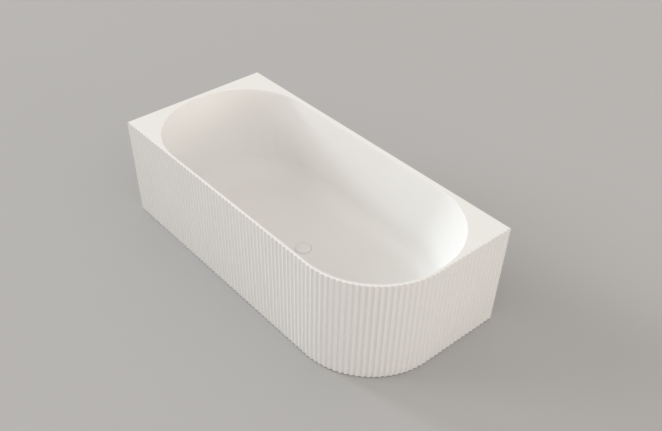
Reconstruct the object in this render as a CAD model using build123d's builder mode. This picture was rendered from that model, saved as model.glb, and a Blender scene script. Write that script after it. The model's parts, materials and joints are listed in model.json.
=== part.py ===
from build123d import *
import os
from math import acos, asin, atan, atan2, cos, hypot, pi, sin, tan

# Back-to-wall bath for a left-hand corner, with flutes round its free sides.
# Millimetres. The bath runs along X with its free end at +X. The back wall is at +Y
# and the left wall at -X. Z is up from the floor, and the origin is on the floor
# under the middle of the bath.

# Overall sizes
bath_length = 1700.0
bath_width = 780.0
bath_height = 520.0
front_corner_to_middle = 22.0

# Flutes of the skirt and the rim
flute_pitch = 24.5
flute_depth = 5.0
flute_radius = 13.0

# Deck and basin
deck_thickness = 6.0
shell_wall = 6.0
rim_front = 15.0
rim_back = 24.0
rim_left = 28.0
rim_right = 15.0
rim_rounding = 3.0
basin_floor_height = 80.0
floor_fall = 8.0
end_slope_run = 265.0
side_slope_run = 140.0
underside_shoulder = 20.0
end_bend_radius = 160.0
side_bend_radius = 110.0
basin_wall_levels = 12
lip_drop = 25.0
lip_wall = 5.0
lip_end_gap = 45.0

# Skirt
skirt_wall = 8.5
skirt_floor_gap = 3.0
skirt_block_wall = 6.0
skirt_block_width = 50.0
skirt_block_height = 50.0
skirt_block_drop = 6.0
return_length = 40.0
return_wall = 7.0

# Board under the basin floor
board_thickness = 15.0
board_end_inset = 3.5
board_side_inset = 10.5
board_corner_share = 0.75
board_hole_radius = 55.0

# Steel frame of square tube
tube_size = 25.0
tube_wall = 2.0
tube_corner_radius = 3.0
front_rail_inset = 40.0
back_rail_inset = 40.0
rail_wall_gap = 25.0
cross_rail_left_inset = 400.0
cross_rail_waste_offset = 123.5
cross_rail_corner_reach = 18.0
upright_right_inset = 80.0

# Plastic plugs in the tube ends and pads on the uprights
plug_plate = 2.0
pad_plate = 4.0
plug_insert = 12.0
plug_clearance = 0.1

# Brackets under the wall edges of the deck
wall_bracket_width = 60.0
wall_bracket_height = 45.0
wall_bracket_ledge = 12.0
wall_bracket_wall = 2.5
wall_hole_radius = 3.25
wall_hole_spacing = 36.0
wall_hole_drop = 28.0
wall_bracket_end_inset = 350.0
wall_bracket_shares = (0, 0.5, 1)

# Brackets between the frame and the skirt
skirt_bracket_leg = 38.0
skirt_bracket_wall = 2.5
skirt_bracket_width = 25.0
skirt_bracket_end_inset = 128.75
skirt_bracket_count = 4
skirt_bracket_hole_height = 26.0

# Screws
bracket_screw_radius = 2.4
bracket_screw_head_radius = 4.5
bracket_screw_head_height = 2.5
rail_screw_length = 12.0
skirt_screw_length = 7.5
pilot_clearance = 0.05
pilot_tip_gap = 0.5
board_screw_radius = 2.75
board_screw_head_radius = 5.5
board_screw_head_height = 3.0
board_screw_bite = 11.0
board_screw_spacing = 240.0

# Levelling feet
foot_end_inset = 55.0
stem_radius = 5.0
stem_top_gap = 3.0
stem_hole_clearance = 0.5
stem_spigot_radius = 4.0
stem_spigot_length = 8.0
collar_across_flats = 14.0
foot_pad_radius = 22.0
foot_pad_top_radius = 12.0
foot_pad_rim = 4.0
foot_pad_height = 12.0
weld_nut_across_flats = 17.0
weld_nut_height = 8.0
lock_nut_across_flats = 16.0
lock_nut_height = 6.0
running_clearance = 0.05
moving_gap = 0.3

# Waste with a click-clack cap
waste_recess_depth = 3.0
floor_hole_clearance = 0.6
flange_radius = 40.5
flange_edge_gap = 0.5
flange_thickness = 1.5
upper_seal_thickness = 1.0
upper_seal_radius = 38.0
tail_radius = 23.9
tail_bore_radius = 20.0
tail_length = 26.5
hub_radius = 10.0
hub_height = 10.0
hub_drop = 22.0
spoke_width = 3.0
spoke_count = 3
cartridge_radius = 7.0
cartridge_shoulder_radius = 9.0
cartridge_bore_radius = 6.0
cartridge_length = 26.0
cartridge_cap_gap = 3.8
cartridge_cover = 2.0
spindle_radius = 3.0
spindle_head_height = 3.0
spindle_rise = 12.0
spring_wire_radius = 0.5
spring_coil_radius = 4.5
spring_turns = 5
cap_radius = 37.0
cap_edge_height = 2.4
cap_crown_height = 4.6
cap_edge_wall = 2.0
cap_seal_thickness = 1.0
cap_seal_outer_radius = 28.0
cap_seal_inner_radius = 24.0
cap_boss_radius = 6.0
cap_boss_gap = 1.0
lower_seal_thickness = 3.0
lower_seal_radius = 33.0
clamp_nut_height = 9.0
clamp_nut_across_flats = 68.0
thread_clearance = 0.1

# Outlet tailpiece under the waste
pipe_radius = 20.0
pipe_wall = 2.0
spigot_bottom_height = 5.0
neck_length = 6.0
neck_depth = 0.5
outlet_washer_thickness = 3.0
outlet_collar_radius = 23.7
outlet_collar_height = 2.5
union_nut_drop = 2.5
union_nut_height = 16.5
union_nut_across_flats = 58.0

cut_overrun = 1.0

# Places worked out from the sizes above
left_x = -bath_length / 2
right_x = bath_length / 2
front_y = -bath_width / 2
back_y = bath_width / 2
front_corner_radius = bath_width / 2 - front_corner_to_middle
corner_x = right_x - front_corner_radius
corner_y = front_y + front_corner_radius
deck_underside = bath_height - deck_thickness
lip_bottom = deck_underside - lip_drop

front_run = bath_length - front_corner_radius
corner_run = front_corner_radius * pi / 2
end_run = bath_width - front_corner_radius
crest_run = front_run + corner_run + end_run
flute_count = round(crest_run / flute_pitch)
flute_step = crest_run / flute_count
flute_angle = 2 * atan(2 * flute_depth / flute_step)
crest_radius = flute_step / 2 / sin(flute_angle) - flute_radius
shoulder_run = crest_radius * sin(flute_angle)
shoulder_depth = crest_radius * (1 - cos(flute_angle))

basin_x = (left_x + rim_left + right_x - rim_right) / 2
basin_y = (front_y + rim_front + back_y - rim_back) / 2
rim_half_length = (bath_length - rim_left - rim_right) / 2
rim_half_width = (bath_width - rim_front - rim_back) / 2
basin_corner_radius = front_corner_radius - rim_front
floor_edge_height = basin_floor_height + floor_fall
wall_drop = bath_height - floor_edge_height
waste_recess_radius = flange_radius + flange_edge_gap
shell_underside = basin_floor_height - shell_wall

underside_end_inset = end_slope_run + underside_shoulder
underside_side_inset = side_slope_run + underside_shoulder
board_length = 2 * (rim_half_length - underside_end_inset - board_end_inset)
board_width = 2 * (rim_half_width - underside_side_inset - board_side_inset)
board_corner_radius = board_corner_share * board_width / 2
board_bottom = shell_underside - board_thickness
rail_top = board_bottom
rail_middle = rail_top - tube_size / 2
rail_bottom = rail_top - tube_size
tube_bore = tube_size - 2 * tube_wall
front_rail_y = front_y + front_rail_inset
back_rail_y = back_y - back_rail_inset
rail_left_x = left_x + rail_wall_gap
cross_rail_left_x = left_x + cross_rail_left_inset
cross_rail_middle_x = basin_x + cross_rail_waste_offset
cross_rail_right_x = corner_x + cross_rail_corner_reach
back_rail_right_x = right_x - rail_wall_gap
front_rail_right_x = cross_rail_right_x + tube_size / 2
left_end_rail_x = rail_left_x + tube_size / 2
cross_rail_front_y = front_rail_y + tube_size / 2
cross_rail_back_y = back_rail_y - tube_size / 2
upright_top = deck_underside - pad_plate
skirt_face_front_y = front_y + skirt_wall
skirt_face_right_x = right_x - skirt_wall
block_face_front_y = skirt_face_front_y + skirt_block_wall
block_face_right_x = skirt_face_right_x - skirt_block_wall

os.makedirs("parts", exist_ok=True)


def crest_point(run, inward):
    """A point at a distance along the crest line, moved inward from it."""
    if run <= front_run:
        return (left_x + run, front_y + inward)
    if run <= front_run + corner_run:
        turn = (run - front_run) / front_corner_radius
        reach = front_corner_radius - inward
        return (corner_x + reach * sin(turn), corner_y - reach * cos(turn))
    return (right_x - inward, corner_y + run - front_run - corner_run)


def draw_flutes():
    """The fluted line from the left wall round to the back wall."""
    half_crest = shoulder_run / 2
    half_crest_depth = crest_radius - (crest_radius**2 - half_crest**2) ** 0.5
    for flute in range(flute_count):
        start = flute * flute_step
        end = start + flute_step
        ThreePointArc(
            crest_point(start, 0),
            crest_point(start + half_crest, half_crest_depth),
            crest_point(start + shoulder_run, shoulder_depth),
        )
        ThreePointArc(
            crest_point(start + shoulder_run, shoulder_depth),
            crest_point(start + flute_step / 2, flute_depth),
            crest_point(end - shoulder_run, shoulder_depth),
        )
        ThreePointArc(
            crest_point(end - shoulder_run, shoulder_depth),
            crest_point(end - half_crest, half_crest_depth),
            crest_point(end, 0),
        )


def basin_outline(height, end_inset, side_inset):
    """A level outline of the basin, drawn in from the opening at the rim."""
    with BuildSketch(Plane.XY.offset(height)) as outline:
        with Locations((basin_x, basin_y)):
            RectangleRounded(
                2 * (rim_half_length - end_inset),
                2 * (rim_half_width - side_inset),
                basin_corner_radius - side_inset,
            )
    return outline.sketch


def wall_inset(depth, slope_run, bend_radius):
    """How far a wall has come in at a depth: straight at first, then round a bend to the floor."""
    bend_top = wall_drop - bend_radius
    lean = acos(bend_radius / hypot(slope_run, bend_top)) - atan2(bend_top, slope_run)
    above_floor = wall_drop - depth
    if above_floor > bend_radius * (1 - sin(lean)):
        return depth * tan(lean)
    return slope_run - (above_floor * (2 * bend_radius - above_floor)) ** 0.5


def basin_walls(wall):
    """Outlines of the basin walls from rim to floor, grown by a wall thickness."""
    outlines = []
    for level in range(basin_wall_levels + 1):
        depth = wall_drop * sin(pi / 2 * level / basin_wall_levels)
        end_inset = wall_inset(depth, end_slope_run, end_bend_radius) - wall
        side_inset = wall_inset(depth, side_slope_run, side_bend_radius) - wall
        outlines.append(basin_outline(bath_height - wall - depth, end_inset, side_inset))
    return outlines


def plane_across_x(x, y, z):
    """A plane whose normal is +X, with its own X along +Y."""
    return Plane(origin=(x, y, z), x_dir=(0, 1, 0), z_dir=(1, 0, 0))


def plane_across_y(x, y, z):
    """A plane whose normal is +Y, with its own X along -X."""
    return Plane(origin=(x, y, z), x_dir=(-1, 0, 0), z_dir=(0, 1, 0))


def draw_tube_section():
    """The section of the square tube."""
    RectangleRounded(tube_size, tube_size, tube_corner_radius)
    RectangleRounded(tube_bore, tube_bore, tube_corner_radius - tube_wall, mode=Mode.SUBTRACT)


def cut_round_holes(plane, places, radius, depth):
    """Round holes cut along the plane's normal from its own level."""
    with BuildSketch(plane) as holes:
        with Locations(*places):
            Circle(radius)
    extrude(holes.sketch, amount=depth, mode=Mode.SUBTRACT)


def add_tube_plug(mouth, plate):
    """A plug with a plate over the tube's mouth and an insert inside it."""
    with BuildSketch(mouth) as plate_outline:
        RectangleRounded(tube_size, tube_size, tube_corner_radius)
    extrude(plate_outline.sketch, amount=plate)
    insert_size = tube_bore - 2 * plug_clearance
    with BuildSketch(mouth) as insert_outline:
        RectangleRounded(insert_size, insert_size, tube_corner_radius - tube_wall)
    extrude(insert_outline.sketch, amount=-plug_insert)


def add_screw(seat, radius, length, head_radius, head_height):
    """A screw whose head stands on the seat plane and whose shank goes below it."""
    with BuildSketch(seat) as shank:
        Circle(radius)
    extrude(shank.sketch, amount=-length)
    with BuildSketch(seat) as head:
        Circle(head_radius)
    extrude(head.sketch, amount=head_height)


def hexagon_radius(across_flats):
    """The corner radius of a hexagon with this size across its flats."""
    return across_flats / 2 / cos(pi / 6)


# Places of the brackets, with each plane's X pointing away from the skirt or wall
first_skirt_bracket_x = rail_left_x + skirt_bracket_end_inset
last_skirt_bracket_x = front_rail_right_x - skirt_bracket_end_inset
skirt_bracket_step = (last_skirt_bracket_x - first_skirt_bracket_x) / (skirt_bracket_count - 1)
skirt_bracket_planes = [
    plane_across_x(first_skirt_bracket_x + place * skirt_bracket_step, block_face_front_y, rail_top)
    for place in range(skirt_bracket_count)
]
skirt_bracket_planes.append(plane_across_y(block_face_right_x, back_rail_y, rail_top))
rail_screw_inset = front_rail_y - block_face_front_y
wall_bracket_run = bath_length - 2 * wall_bracket_end_inset
wall_bracket_planes = [
    Plane(
        origin=(left_x + wall_bracket_end_inset + share * wall_bracket_run, back_y, lip_bottom),
        x_dir=(0, -1, 0),
        z_dir=(-1, 0, 0),
    )
    for share in wall_bracket_shares
]
wall_bracket_planes.append(Plane(origin=(left_x, 0, lip_bottom), x_dir=(1, 0, 0), z_dir=(0, -1, 0)))

# Places of the levelling feet under the two long rails
foot_left_x = rail_left_x + foot_end_inset
front_foot_right_x = front_rail_right_x - foot_end_inset
back_foot_right_x = back_rail_right_x - foot_end_inset
foot_places = {
    "front_left": (foot_left_x, front_rail_y),
    "front_middle": ((foot_left_x + front_foot_right_x) / 2, front_rail_y),
    "front_right": (front_foot_right_x, front_rail_y),
    "back_left": (foot_left_x, back_rail_y),
    "back_middle": ((foot_left_x + back_foot_right_x) / 2, back_rail_y),
    "back_right": (back_foot_right_x, back_rail_y),
}

# Bath shell: the deck, the basin and the lips along the two walls
with BuildPart() as bath_shell:
    with BuildSketch(Plane.XY.offset(deck_underside)):
        with BuildLine():
            draw_flutes()
            Polyline((right_x, back_y), (left_x, back_y), (left_x, front_y))
        make_face()
    extrude(amount=deck_thickness)
    loft(basin_walls(shell_wall))
    underside_outlines = [
        basin_outline(
            floor_edge_height - shell_wall,
            end_slope_run - shell_wall,
            side_slope_run - shell_wall,
        ),
        basin_outline(shell_underside, underside_end_inset, underside_side_inset),
    ]
    loft(underside_outlines, ruled=True)
    with BuildSketch(Plane.XY.offset(lip_bottom)):
        with Locations((left_x, back_y - lip_wall)):
            Rectangle(bath_length - skirt_wall - lip_end_gap, lip_wall, align=(Align.MIN, Align.MIN))
        with Locations((left_x, back_y)):
            Rectangle(lip_wall, bath_width - skirt_wall - lip_end_gap, align=(Align.MIN, Align.MAX))
    extrude(amount=lip_drop)
    loft(basin_walls(0), mode=Mode.SUBTRACT)
    with BuildSketch(Plane.XY.offset(basin_floor_height)) as waste_surround:
        with Locations((basin_x, basin_y)):
            RectangleRounded(
                2 * (waste_recess_radius + floor_fall),
                2 * (waste_recess_radius + floor_fall),
                waste_recess_radius,
            )
    floor_outlines = [
        basin_outline(floor_edge_height, end_slope_run, side_slope_run),
        waste_surround.sketch,
    ]
    loft(floor_outlines, ruled=True, mode=Mode.SUBTRACT)
    floor_plane = Plane.XY.offset(basin_floor_height)
    floor_hole_radius = tail_radius + floor_hole_clearance
    cut_round_holes(floor_plane, [(basin_x, basin_y)], waste_recess_radius, -waste_recess_depth)
    cut_round_holes(floor_plane, [(basin_x, basin_y)], floor_hole_radius, -shell_wall - cut_overrun)
    deck_face = bath_shell.faces().filter_by(Axis.Z).sort_by(Axis.Z)[-1]
    fillet(deck_face.inner_wires()[0].edges(), rim_rounding)
bath_shell.part.label = "bath_shell"
export_step(bath_shell.part, "parts/bath_shell.step")

# Fluted skirt: front, round corner and free end, with a short return along each wall
with BuildPart() as fluted_skirt:
    with BuildSketch(Plane.XY.offset(skirt_floor_gap)):
        with BuildLine():
            draw_flutes()
            Polyline((right_x, back_y), (skirt_face_right_x, back_y), (skirt_face_right_x, corner_y))
            CenterArc((corner_x, corner_y), front_corner_radius - skirt_wall, 0, -90)
            Polyline((corner_x, skirt_face_front_y), (left_x, skirt_face_front_y), (left_x, front_y))
        make_face()
        with Locations((left_x, skirt_face_front_y)):
            Rectangle(return_wall, return_length, align=(Align.MIN, Align.MIN))
        with Locations((skirt_face_right_x, back_y)):
            Rectangle(return_length, return_wall, align=(Align.MAX, Align.MAX))
    extrude(amount=deck_underside - skirt_floor_gap)
    for bracket_plane in skirt_bracket_planes:
        with BuildSketch(bracket_plane):
            with Locations((0, -skirt_block_drop)):
                Rectangle(skirt_block_wall, skirt_block_height, align=(Align.MAX, Align.MIN))
        extrude(amount=skirt_block_width / 2, both=True)
        hole_centre = bracket_plane.from_local_coords((0, skirt_bracket_hole_height, 0))
        pilot_depth = skirt_screw_length - skirt_bracket_wall + pilot_tip_gap
        cut_round_holes(
            Plane(origin=hole_centre, z_dir=bracket_plane.x_dir),
            [(0, 0)],
            bracket_screw_radius + pilot_clearance,
            -pilot_depth,
        )
fluted_skirt.part.label = "fluted_skirt"
export_step(fluted_skirt.part, "parts/fluted_skirt.step")

# Board bonded under the basin floor
board_screw_places = [
    (x, basin_y + side * board_screw_spacing / 2)
    for x in (cross_rail_left_x, cross_rail_middle_x, cross_rail_right_x)
    for side in (-1, 1)
]
with BuildPart() as base_board:
    with BuildSketch(Plane.XY.offset(board_bottom)):
        with Locations((basin_x, basin_y)):
            RectangleRounded(board_length, board_width, board_corner_radius)
            Circle(board_hole_radius, mode=Mode.SUBTRACT)
    extrude(amount=board_thickness)
    cut_round_holes(
        Plane.XY.offset(board_bottom),
        board_screw_places,
        board_screw_radius + pilot_clearance,
        board_screw_bite + pilot_tip_gap,
    )
base_board.part.label = "base_board"
export_step(base_board.part, "parts/base_board.step")

# Long rail along the front
with BuildPart() as front_rail:
    with BuildSketch(plane_across_x(rail_left_x, front_rail_y, rail_middle)):
        draw_tube_section()
    extrude(amount=front_rail_right_x - rail_left_x)
    cut_round_holes(
        Plane.XY.offset(rail_bottom),
        [place for place in foot_places.values() if place[1] == front_rail_y],
        stem_radius + stem_hole_clearance,
        tube_wall,
    )
    cut_round_holes(
        Plane.XY.offset(rail_top),
        [(plane.origin.X, front_rail_y) for plane in skirt_bracket_planes[:-1]],
        bracket_screw_radius + pilot_clearance,
        -tube_wall,
    )
front_rail.part.label = "front_rail"
export_step(front_rail.part, "parts/front_rail.step")

# Long rail along the back wall
with BuildPart() as back_rail:
    with BuildSketch(plane_across_x(rail_left_x, back_rail_y, rail_middle)):
        draw_tube_section()
    extrude(amount=back_rail_right_x - rail_left_x)
    cut_round_holes(
        Plane.XY.offset(rail_bottom),
        [place for place in foot_places.values() if place[1] == back_rail_y],
        stem_radius + stem_hole_clearance,
        tube_wall,
    )
    cut_round_holes(
        Plane.XY.offset(rail_top),
        [(block_face_right_x - rail_screw_inset, back_rail_y)],
        bracket_screw_radius + pilot_clearance,
        -tube_wall,
    )
back_rail.part.label = "back_rail"
export_step(back_rail.part, "parts/back_rail.step")

# Cross rails welded between the long rails; three of them carry the board
cross_rail_places = {
    "left_end_rail": left_end_rail_x,
    "cross_rail_left": cross_rail_left_x,
    "cross_rail_middle": cross_rail_middle_x,
    "cross_rail_right": cross_rail_right_x,
}
for rail_name, rail_x in cross_rail_places.items():
    screw_places = [place for place in board_screw_places if place[0] == rail_x]
    with BuildPart() as cross_rail:
        with BuildSketch(plane_across_y(rail_x, cross_rail_front_y, rail_middle)):
            draw_tube_section()
        extrude(amount=cross_rail_back_y - cross_rail_front_y)
        if screw_places:
            cut_round_holes(
                Plane.XY.offset(rail_bottom),
                screw_places,
                board_screw_radius + pilot_clearance,
                tube_size,
            )
    cross_rail.part.label = rail_name
    export_step(cross_rail.part, f"parts/{rail_name}.step")

# Uprights that hold the deck near the corners by the walls
upright_places = {
    "upright_front_left": (left_end_rail_x, front_rail_y),
    "upright_back_left": (left_end_rail_x, back_rail_y),
    "upright_back_right": (right_x - upright_right_inset, back_rail_y),
}
for upright_name, (upright_x, upright_y) in upright_places.items():
    with BuildPart() as upright:
        with BuildSketch(Plane.XY.offset(rail_top)):
            with Locations((upright_x, upright_y)):
                draw_tube_section()
        extrude(amount=upright_top - rail_top)
    upright.part.label = upright_name
    export_step(upright.part, f"parts/{upright_name}.step")

# Pads between the uprights and the deck
with BuildPart() as upright_pads:
    for upright_x, upright_y in upright_places.values():
        add_tube_plug(Plane(origin=(upright_x, upright_y, upright_top)), pad_plate)
upright_pads.part.label = "upright_pads"
export_step(upright_pads.part, "parts/upright_pads.step")

# Plugs in the open ends of the long rails
with BuildPart() as rail_end_plugs:
    for rail_y, rail_right_x in ((front_rail_y, front_rail_right_x), (back_rail_y, back_rail_right_x)):
        left_mouth = Plane(origin=(rail_left_x, rail_y, rail_middle), x_dir=(0, 1, 0), z_dir=(-1, 0, 0))
        add_tube_plug(left_mouth, plug_plate)
        add_tube_plug(plane_across_x(rail_right_x, rail_y, rail_middle), plug_plate)
rail_end_plugs.part.label = "rail_end_plugs"
export_step(rail_end_plugs.part, "parts/rail_end_plugs.step")

# Brackets that are screwed to the walls and carry the lips of the deck
with BuildPart() as wall_brackets:
    for bracket_plane in wall_bracket_planes:
        with BuildSketch(bracket_plane):
            Rectangle(wall_bracket_ledge, wall_bracket_wall, align=(Align.MIN, Align.MAX))
            Rectangle(wall_bracket_wall, wall_bracket_height, align=(Align.MIN, Align.MAX))
        extrude(amount=wall_bracket_width / 2, both=True)
        for side in (-1, 1):
            hole_centre = bracket_plane.from_local_coords((0, -wall_hole_drop, side * wall_hole_spacing / 2))
            cut_round_holes(
                Plane(origin=hole_centre, z_dir=bracket_plane.x_dir),
                [(0, 0)],
                wall_hole_radius,
                wall_bracket_wall,
            )
wall_brackets.part.label = "wall_brackets"
export_step(wall_brackets.part, "parts/wall_brackets.step")

# Brackets that tie the skirt to the long rails
with BuildPart() as skirt_brackets:
    for bracket_plane in skirt_bracket_planes:
        with BuildSketch(bracket_plane):
            Rectangle(skirt_bracket_leg, skirt_bracket_wall, align=(Align.MIN, Align.MIN))
            Rectangle(skirt_bracket_wall, skirt_bracket_leg, align=(Align.MIN, Align.MIN))
        extrude(amount=skirt_bracket_width / 2, both=True)
        cut_round_holes(
            Plane(origin=bracket_plane.from_local_coords((rail_screw_inset, 0, 0)), z_dir=(0, 0, 1)),
            [(0, 0)],
            bracket_screw_radius + pilot_clearance,
            skirt_bracket_wall,
        )
        hole_centre = bracket_plane.from_local_coords((0, skirt_bracket_hole_height, 0))
        cut_round_holes(
            Plane(origin=hole_centre, z_dir=bracket_plane.x_dir),
            [(0, 0)],
            bracket_screw_radius + pilot_clearance,
            skirt_bracket_wall,
        )
skirt_brackets.part.label = "skirt_brackets"
export_step(skirt_brackets.part, "parts/skirt_brackets.step")

# Screws of those brackets, one down into the rail and one into the skirt
with BuildPart() as skirt_bracket_screws:
    for bracket_plane in skirt_bracket_planes:
        rail_seat = bracket_plane.from_local_coords((rail_screw_inset, skirt_bracket_wall, 0))
        add_screw(
            Plane(origin=rail_seat, z_dir=(0, 0, 1)),
            bracket_screw_radius,
            rail_screw_length,
            bracket_screw_head_radius,
            bracket_screw_head_height,
        )
        skirt_seat = bracket_plane.from_local_coords((skirt_bracket_wall, skirt_bracket_hole_height, 0))
        add_screw(
            Plane(origin=skirt_seat, z_dir=bracket_plane.x_dir),
            bracket_screw_radius,
            skirt_screw_length,
            bracket_screw_head_radius,
            bracket_screw_head_height,
        )
skirt_bracket_screws.part.label = "skirt_bracket_screws"
export_step(skirt_bracket_screws.part, "parts/skirt_bracket_screws.step")

# Screws up through the cross rails into the board
with BuildPart() as board_screws:
    for screw_x, screw_y in board_screw_places:
        add_screw(
            Plane(origin=(screw_x, screw_y, rail_bottom), z_dir=(0, 0, -1)),
            board_screw_radius,
            tube_size + board_screw_bite,
            board_screw_head_radius,
            board_screw_head_height,
        )
board_screws.part.label = "board_screws"
export_step(board_screws.part, "parts/board_screws.step")

# Nuts welded under the long rails
with BuildPart() as weld_nuts:
    with BuildSketch(Plane.XY.offset(rail_bottom - weld_nut_height)):
        with Locations(*foot_places.values()):
            RegularPolygon(hexagon_radius(weld_nut_across_flats), 6)
            Circle(stem_radius + running_clearance, mode=Mode.SUBTRACT)
    extrude(amount=weld_nut_height)
weld_nuts.part.label = "weld_nuts"
export_step(weld_nuts.part, "parts/weld_nuts.step")

# Lock nuts run up against the welded nuts
lock_nut_bottom = rail_bottom - weld_nut_height - lock_nut_height
with BuildPart() as lock_nuts:
    with BuildSketch(Plane.XY.offset(lock_nut_bottom)):
        with Locations(*foot_places.values()):
            RegularPolygon(hexagon_radius(lock_nut_across_flats), 6)
            Circle(stem_radius + running_clearance, mode=Mode.SUBTRACT)
    extrude(amount=lock_nut_height)
lock_nuts.part.label = "lock_nuts"
export_step(lock_nuts.part, "parts/lock_nuts.step")

# Levelling feet: a pad on the floor, and a threaded stem that turns in it
collar_bottom = foot_pad_height + moving_gap
collar_top = lock_nut_bottom - moving_gap
stem_top = rail_top - tube_wall - stem_top_gap
spigot_bottom = foot_pad_height - stem_spigot_length
for foot_name, (foot_x, foot_y) in foot_places.items():
    with BuildPart() as foot_pad:
        with BuildSketch(Plane(origin=(foot_x, foot_y, 0), x_dir=(1, 0, 0), z_dir=(0, -1, 0))):
            with BuildLine():
                Polyline(
                    (0, 0),
                    (foot_pad_radius, 0),
                    (foot_pad_radius, foot_pad_rim),
                    (foot_pad_top_radius, foot_pad_height),
                    (0, foot_pad_height),
                    close=True,
                )
            make_face()
        revolve(axis=Axis((foot_x, foot_y, 0), (0, 0, 1)))
        cut_round_holes(
            Plane.XY.offset(foot_pad_height),
            [(foot_x, foot_y)],
            stem_spigot_radius + running_clearance,
            spigot_bottom - moving_gap - foot_pad_height,
        )
    foot_pad.part.label = f"foot_pad_{foot_name}"
    export_step(foot_pad.part, f"parts/foot_pad_{foot_name}.step")

    with BuildPart() as foot_stem:
        with BuildSketch(Plane.XY.offset(spigot_bottom)):
            with Locations((foot_x, foot_y)):
                Circle(stem_spigot_radius)
        extrude(amount=collar_bottom - spigot_bottom)
        with BuildSketch(Plane.XY.offset(collar_bottom)):
            with Locations((foot_x, foot_y)):
                RegularPolygon(hexagon_radius(collar_across_flats), 6)
        extrude(amount=collar_top - collar_bottom)
        with BuildSketch(Plane.XY.offset(collar_top)):
            with Locations((foot_x, foot_y)):
                Circle(stem_radius)
        extrude(amount=stem_top - collar_top)
    foot_stem.part.label = f"foot_stem_{foot_name}"
    export_step(foot_stem.part, f"parts/foot_stem_{foot_name}.step")

# Waste: heights of the stack of seals, flange and cap in the floor recess
recess_floor = basin_floor_height - waste_recess_depth
flange_bottom = recess_floor + upper_seal_thickness
flange_top = flange_bottom + flange_thickness
cap_bottom = flange_top + moving_gap
tail_bottom_height = flange_bottom - tail_length
hub_bottom_height = flange_bottom - hub_drop
cartridge_top_height = cap_bottom - cartridge_cap_gap
cartridge_bottom_height = cartridge_top_height - cartridge_length
spindle_bottom_height = cartridge_bottom_height + spindle_rise
waste_centre = (basin_x, basin_y)
waste_axis = Axis((basin_x, basin_y, 0), (0, 0, 1))
waste_profile_plane = Plane(origin=(basin_x, basin_y, 0), x_dir=(1, 0, 0), z_dir=(0, -1, 0))


def add_ring(bottom, height, outer_radius, inner_radius):
    """A plain ring round the waste's own axis."""
    with BuildSketch(Plane.XY.offset(bottom)) as ring:
        with Locations(waste_centre):
            Circle(outer_radius)
            Circle(inner_radius, mode=Mode.SUBTRACT)
    extrude(ring.sketch, amount=height)


# Waste body: flange, threaded tail and the hub that holds the cartridge
with BuildPart() as waste_body:
    add_ring(flange_bottom, flange_thickness, flange_radius, tail_bore_radius)
    add_ring(tail_bottom_height, flange_bottom - tail_bottom_height, tail_radius, tail_bore_radius)
    add_ring(hub_bottom_height, hub_height, hub_radius, cartridge_radius + running_clearance)
    spoke_reach = (tail_bore_radius + tail_radius) / 2
    with BuildSketch(Plane.XY.offset(hub_bottom_height)):
        with Locations(waste_centre):
            with PolarLocations(0, spoke_count):
                Rectangle(spoke_reach, spoke_width, align=(Align.MIN, Align.CENTER))
            Circle((hub_radius + cartridge_radius) / 2, mode=Mode.SUBTRACT)
    extrude(amount=hub_height)
waste_body.part.label = "waste_body"
export_step(waste_body.part, "parts/waste_body.step")

# Seal between the flange and the basin floor
with BuildPart() as waste_upper_seal:
    add_ring(recess_floor, upper_seal_thickness, upper_seal_radius, floor_hole_radius)
waste_upper_seal.part.label = "waste_upper_seal"
export_step(waste_upper_seal.part, "parts/waste_upper_seal.step")

# Seal under the basin floor
lower_seal_bottom = shell_underside - lower_seal_thickness
with BuildPart() as waste_lower_seal:
    add_ring(lower_seal_bottom, lower_seal_thickness, lower_seal_radius, tail_radius + thread_clearance)
waste_lower_seal.part.label = "waste_lower_seal"
export_step(waste_lower_seal.part, "parts/waste_lower_seal.step")

# Nut that clamps the waste to the floor
with BuildPart() as waste_clamp_nut:
    with BuildSketch(Plane.XY.offset(lower_seal_bottom - clamp_nut_height)):
        with Locations(waste_centre):
            RegularPolygon(hexagon_radius(clamp_nut_across_flats), 6)
            Circle(tail_radius + thread_clearance, mode=Mode.SUBTRACT)
    extrude(amount=clamp_nut_height)
waste_clamp_nut.part.label = "waste_clamp_nut"
export_step(waste_clamp_nut.part, "parts/waste_clamp_nut.step")

# Cartridge that latches the cap up or down
shoulder_bottom = hub_bottom_height + hub_height
with BuildPart() as waste_cartridge:
    with BuildSketch(waste_profile_plane):
        with BuildLine():
            Polyline(
                (0, cartridge_bottom_height),
                (cartridge_radius, cartridge_bottom_height),
                (cartridge_radius, shoulder_bottom),
                (cartridge_shoulder_radius, shoulder_bottom),
                (cartridge_shoulder_radius, shoulder_bottom + cartridge_cover),
                (cartridge_radius, shoulder_bottom + cartridge_cover),
                (cartridge_radius, cartridge_top_height),
                (spindle_radius + running_clearance, cartridge_top_height),
                (spindle_radius + running_clearance, cartridge_top_height - cartridge_cover),
                (cartridge_bore_radius, cartridge_top_height - cartridge_cover),
                (cartridge_bore_radius, cartridge_bottom_height + cartridge_cover),
                (0, cartridge_bottom_height + cartridge_cover),
                close=True,
            )
        make_face()
    revolve(axis=waste_axis)
waste_cartridge.part.label = "waste_cartridge"
export_step(waste_cartridge.part, "parts/waste_cartridge.step")

# Spring under the spindle's head
spring_bottom = cartridge_bottom_height + cartridge_cover + spring_wire_radius
spring_height = spindle_bottom_height - spring_wire_radius - spring_bottom - moving_gap
with BuildPart() as waste_spring:
    with BuildLine():
        coil = Helix(
            spring_height / spring_turns,
            spring_height,
            spring_coil_radius,
            center=(basin_x, basin_y, spring_bottom),
        )
    with BuildSketch(Plane(origin=coil @ 0, z_dir=coil % 0)):
        Circle(spring_wire_radius)
    sweep(is_frenet=True)
waste_spring.part.label = "waste_spring"
export_step(waste_spring.part, "parts/waste_spring.step")

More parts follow.
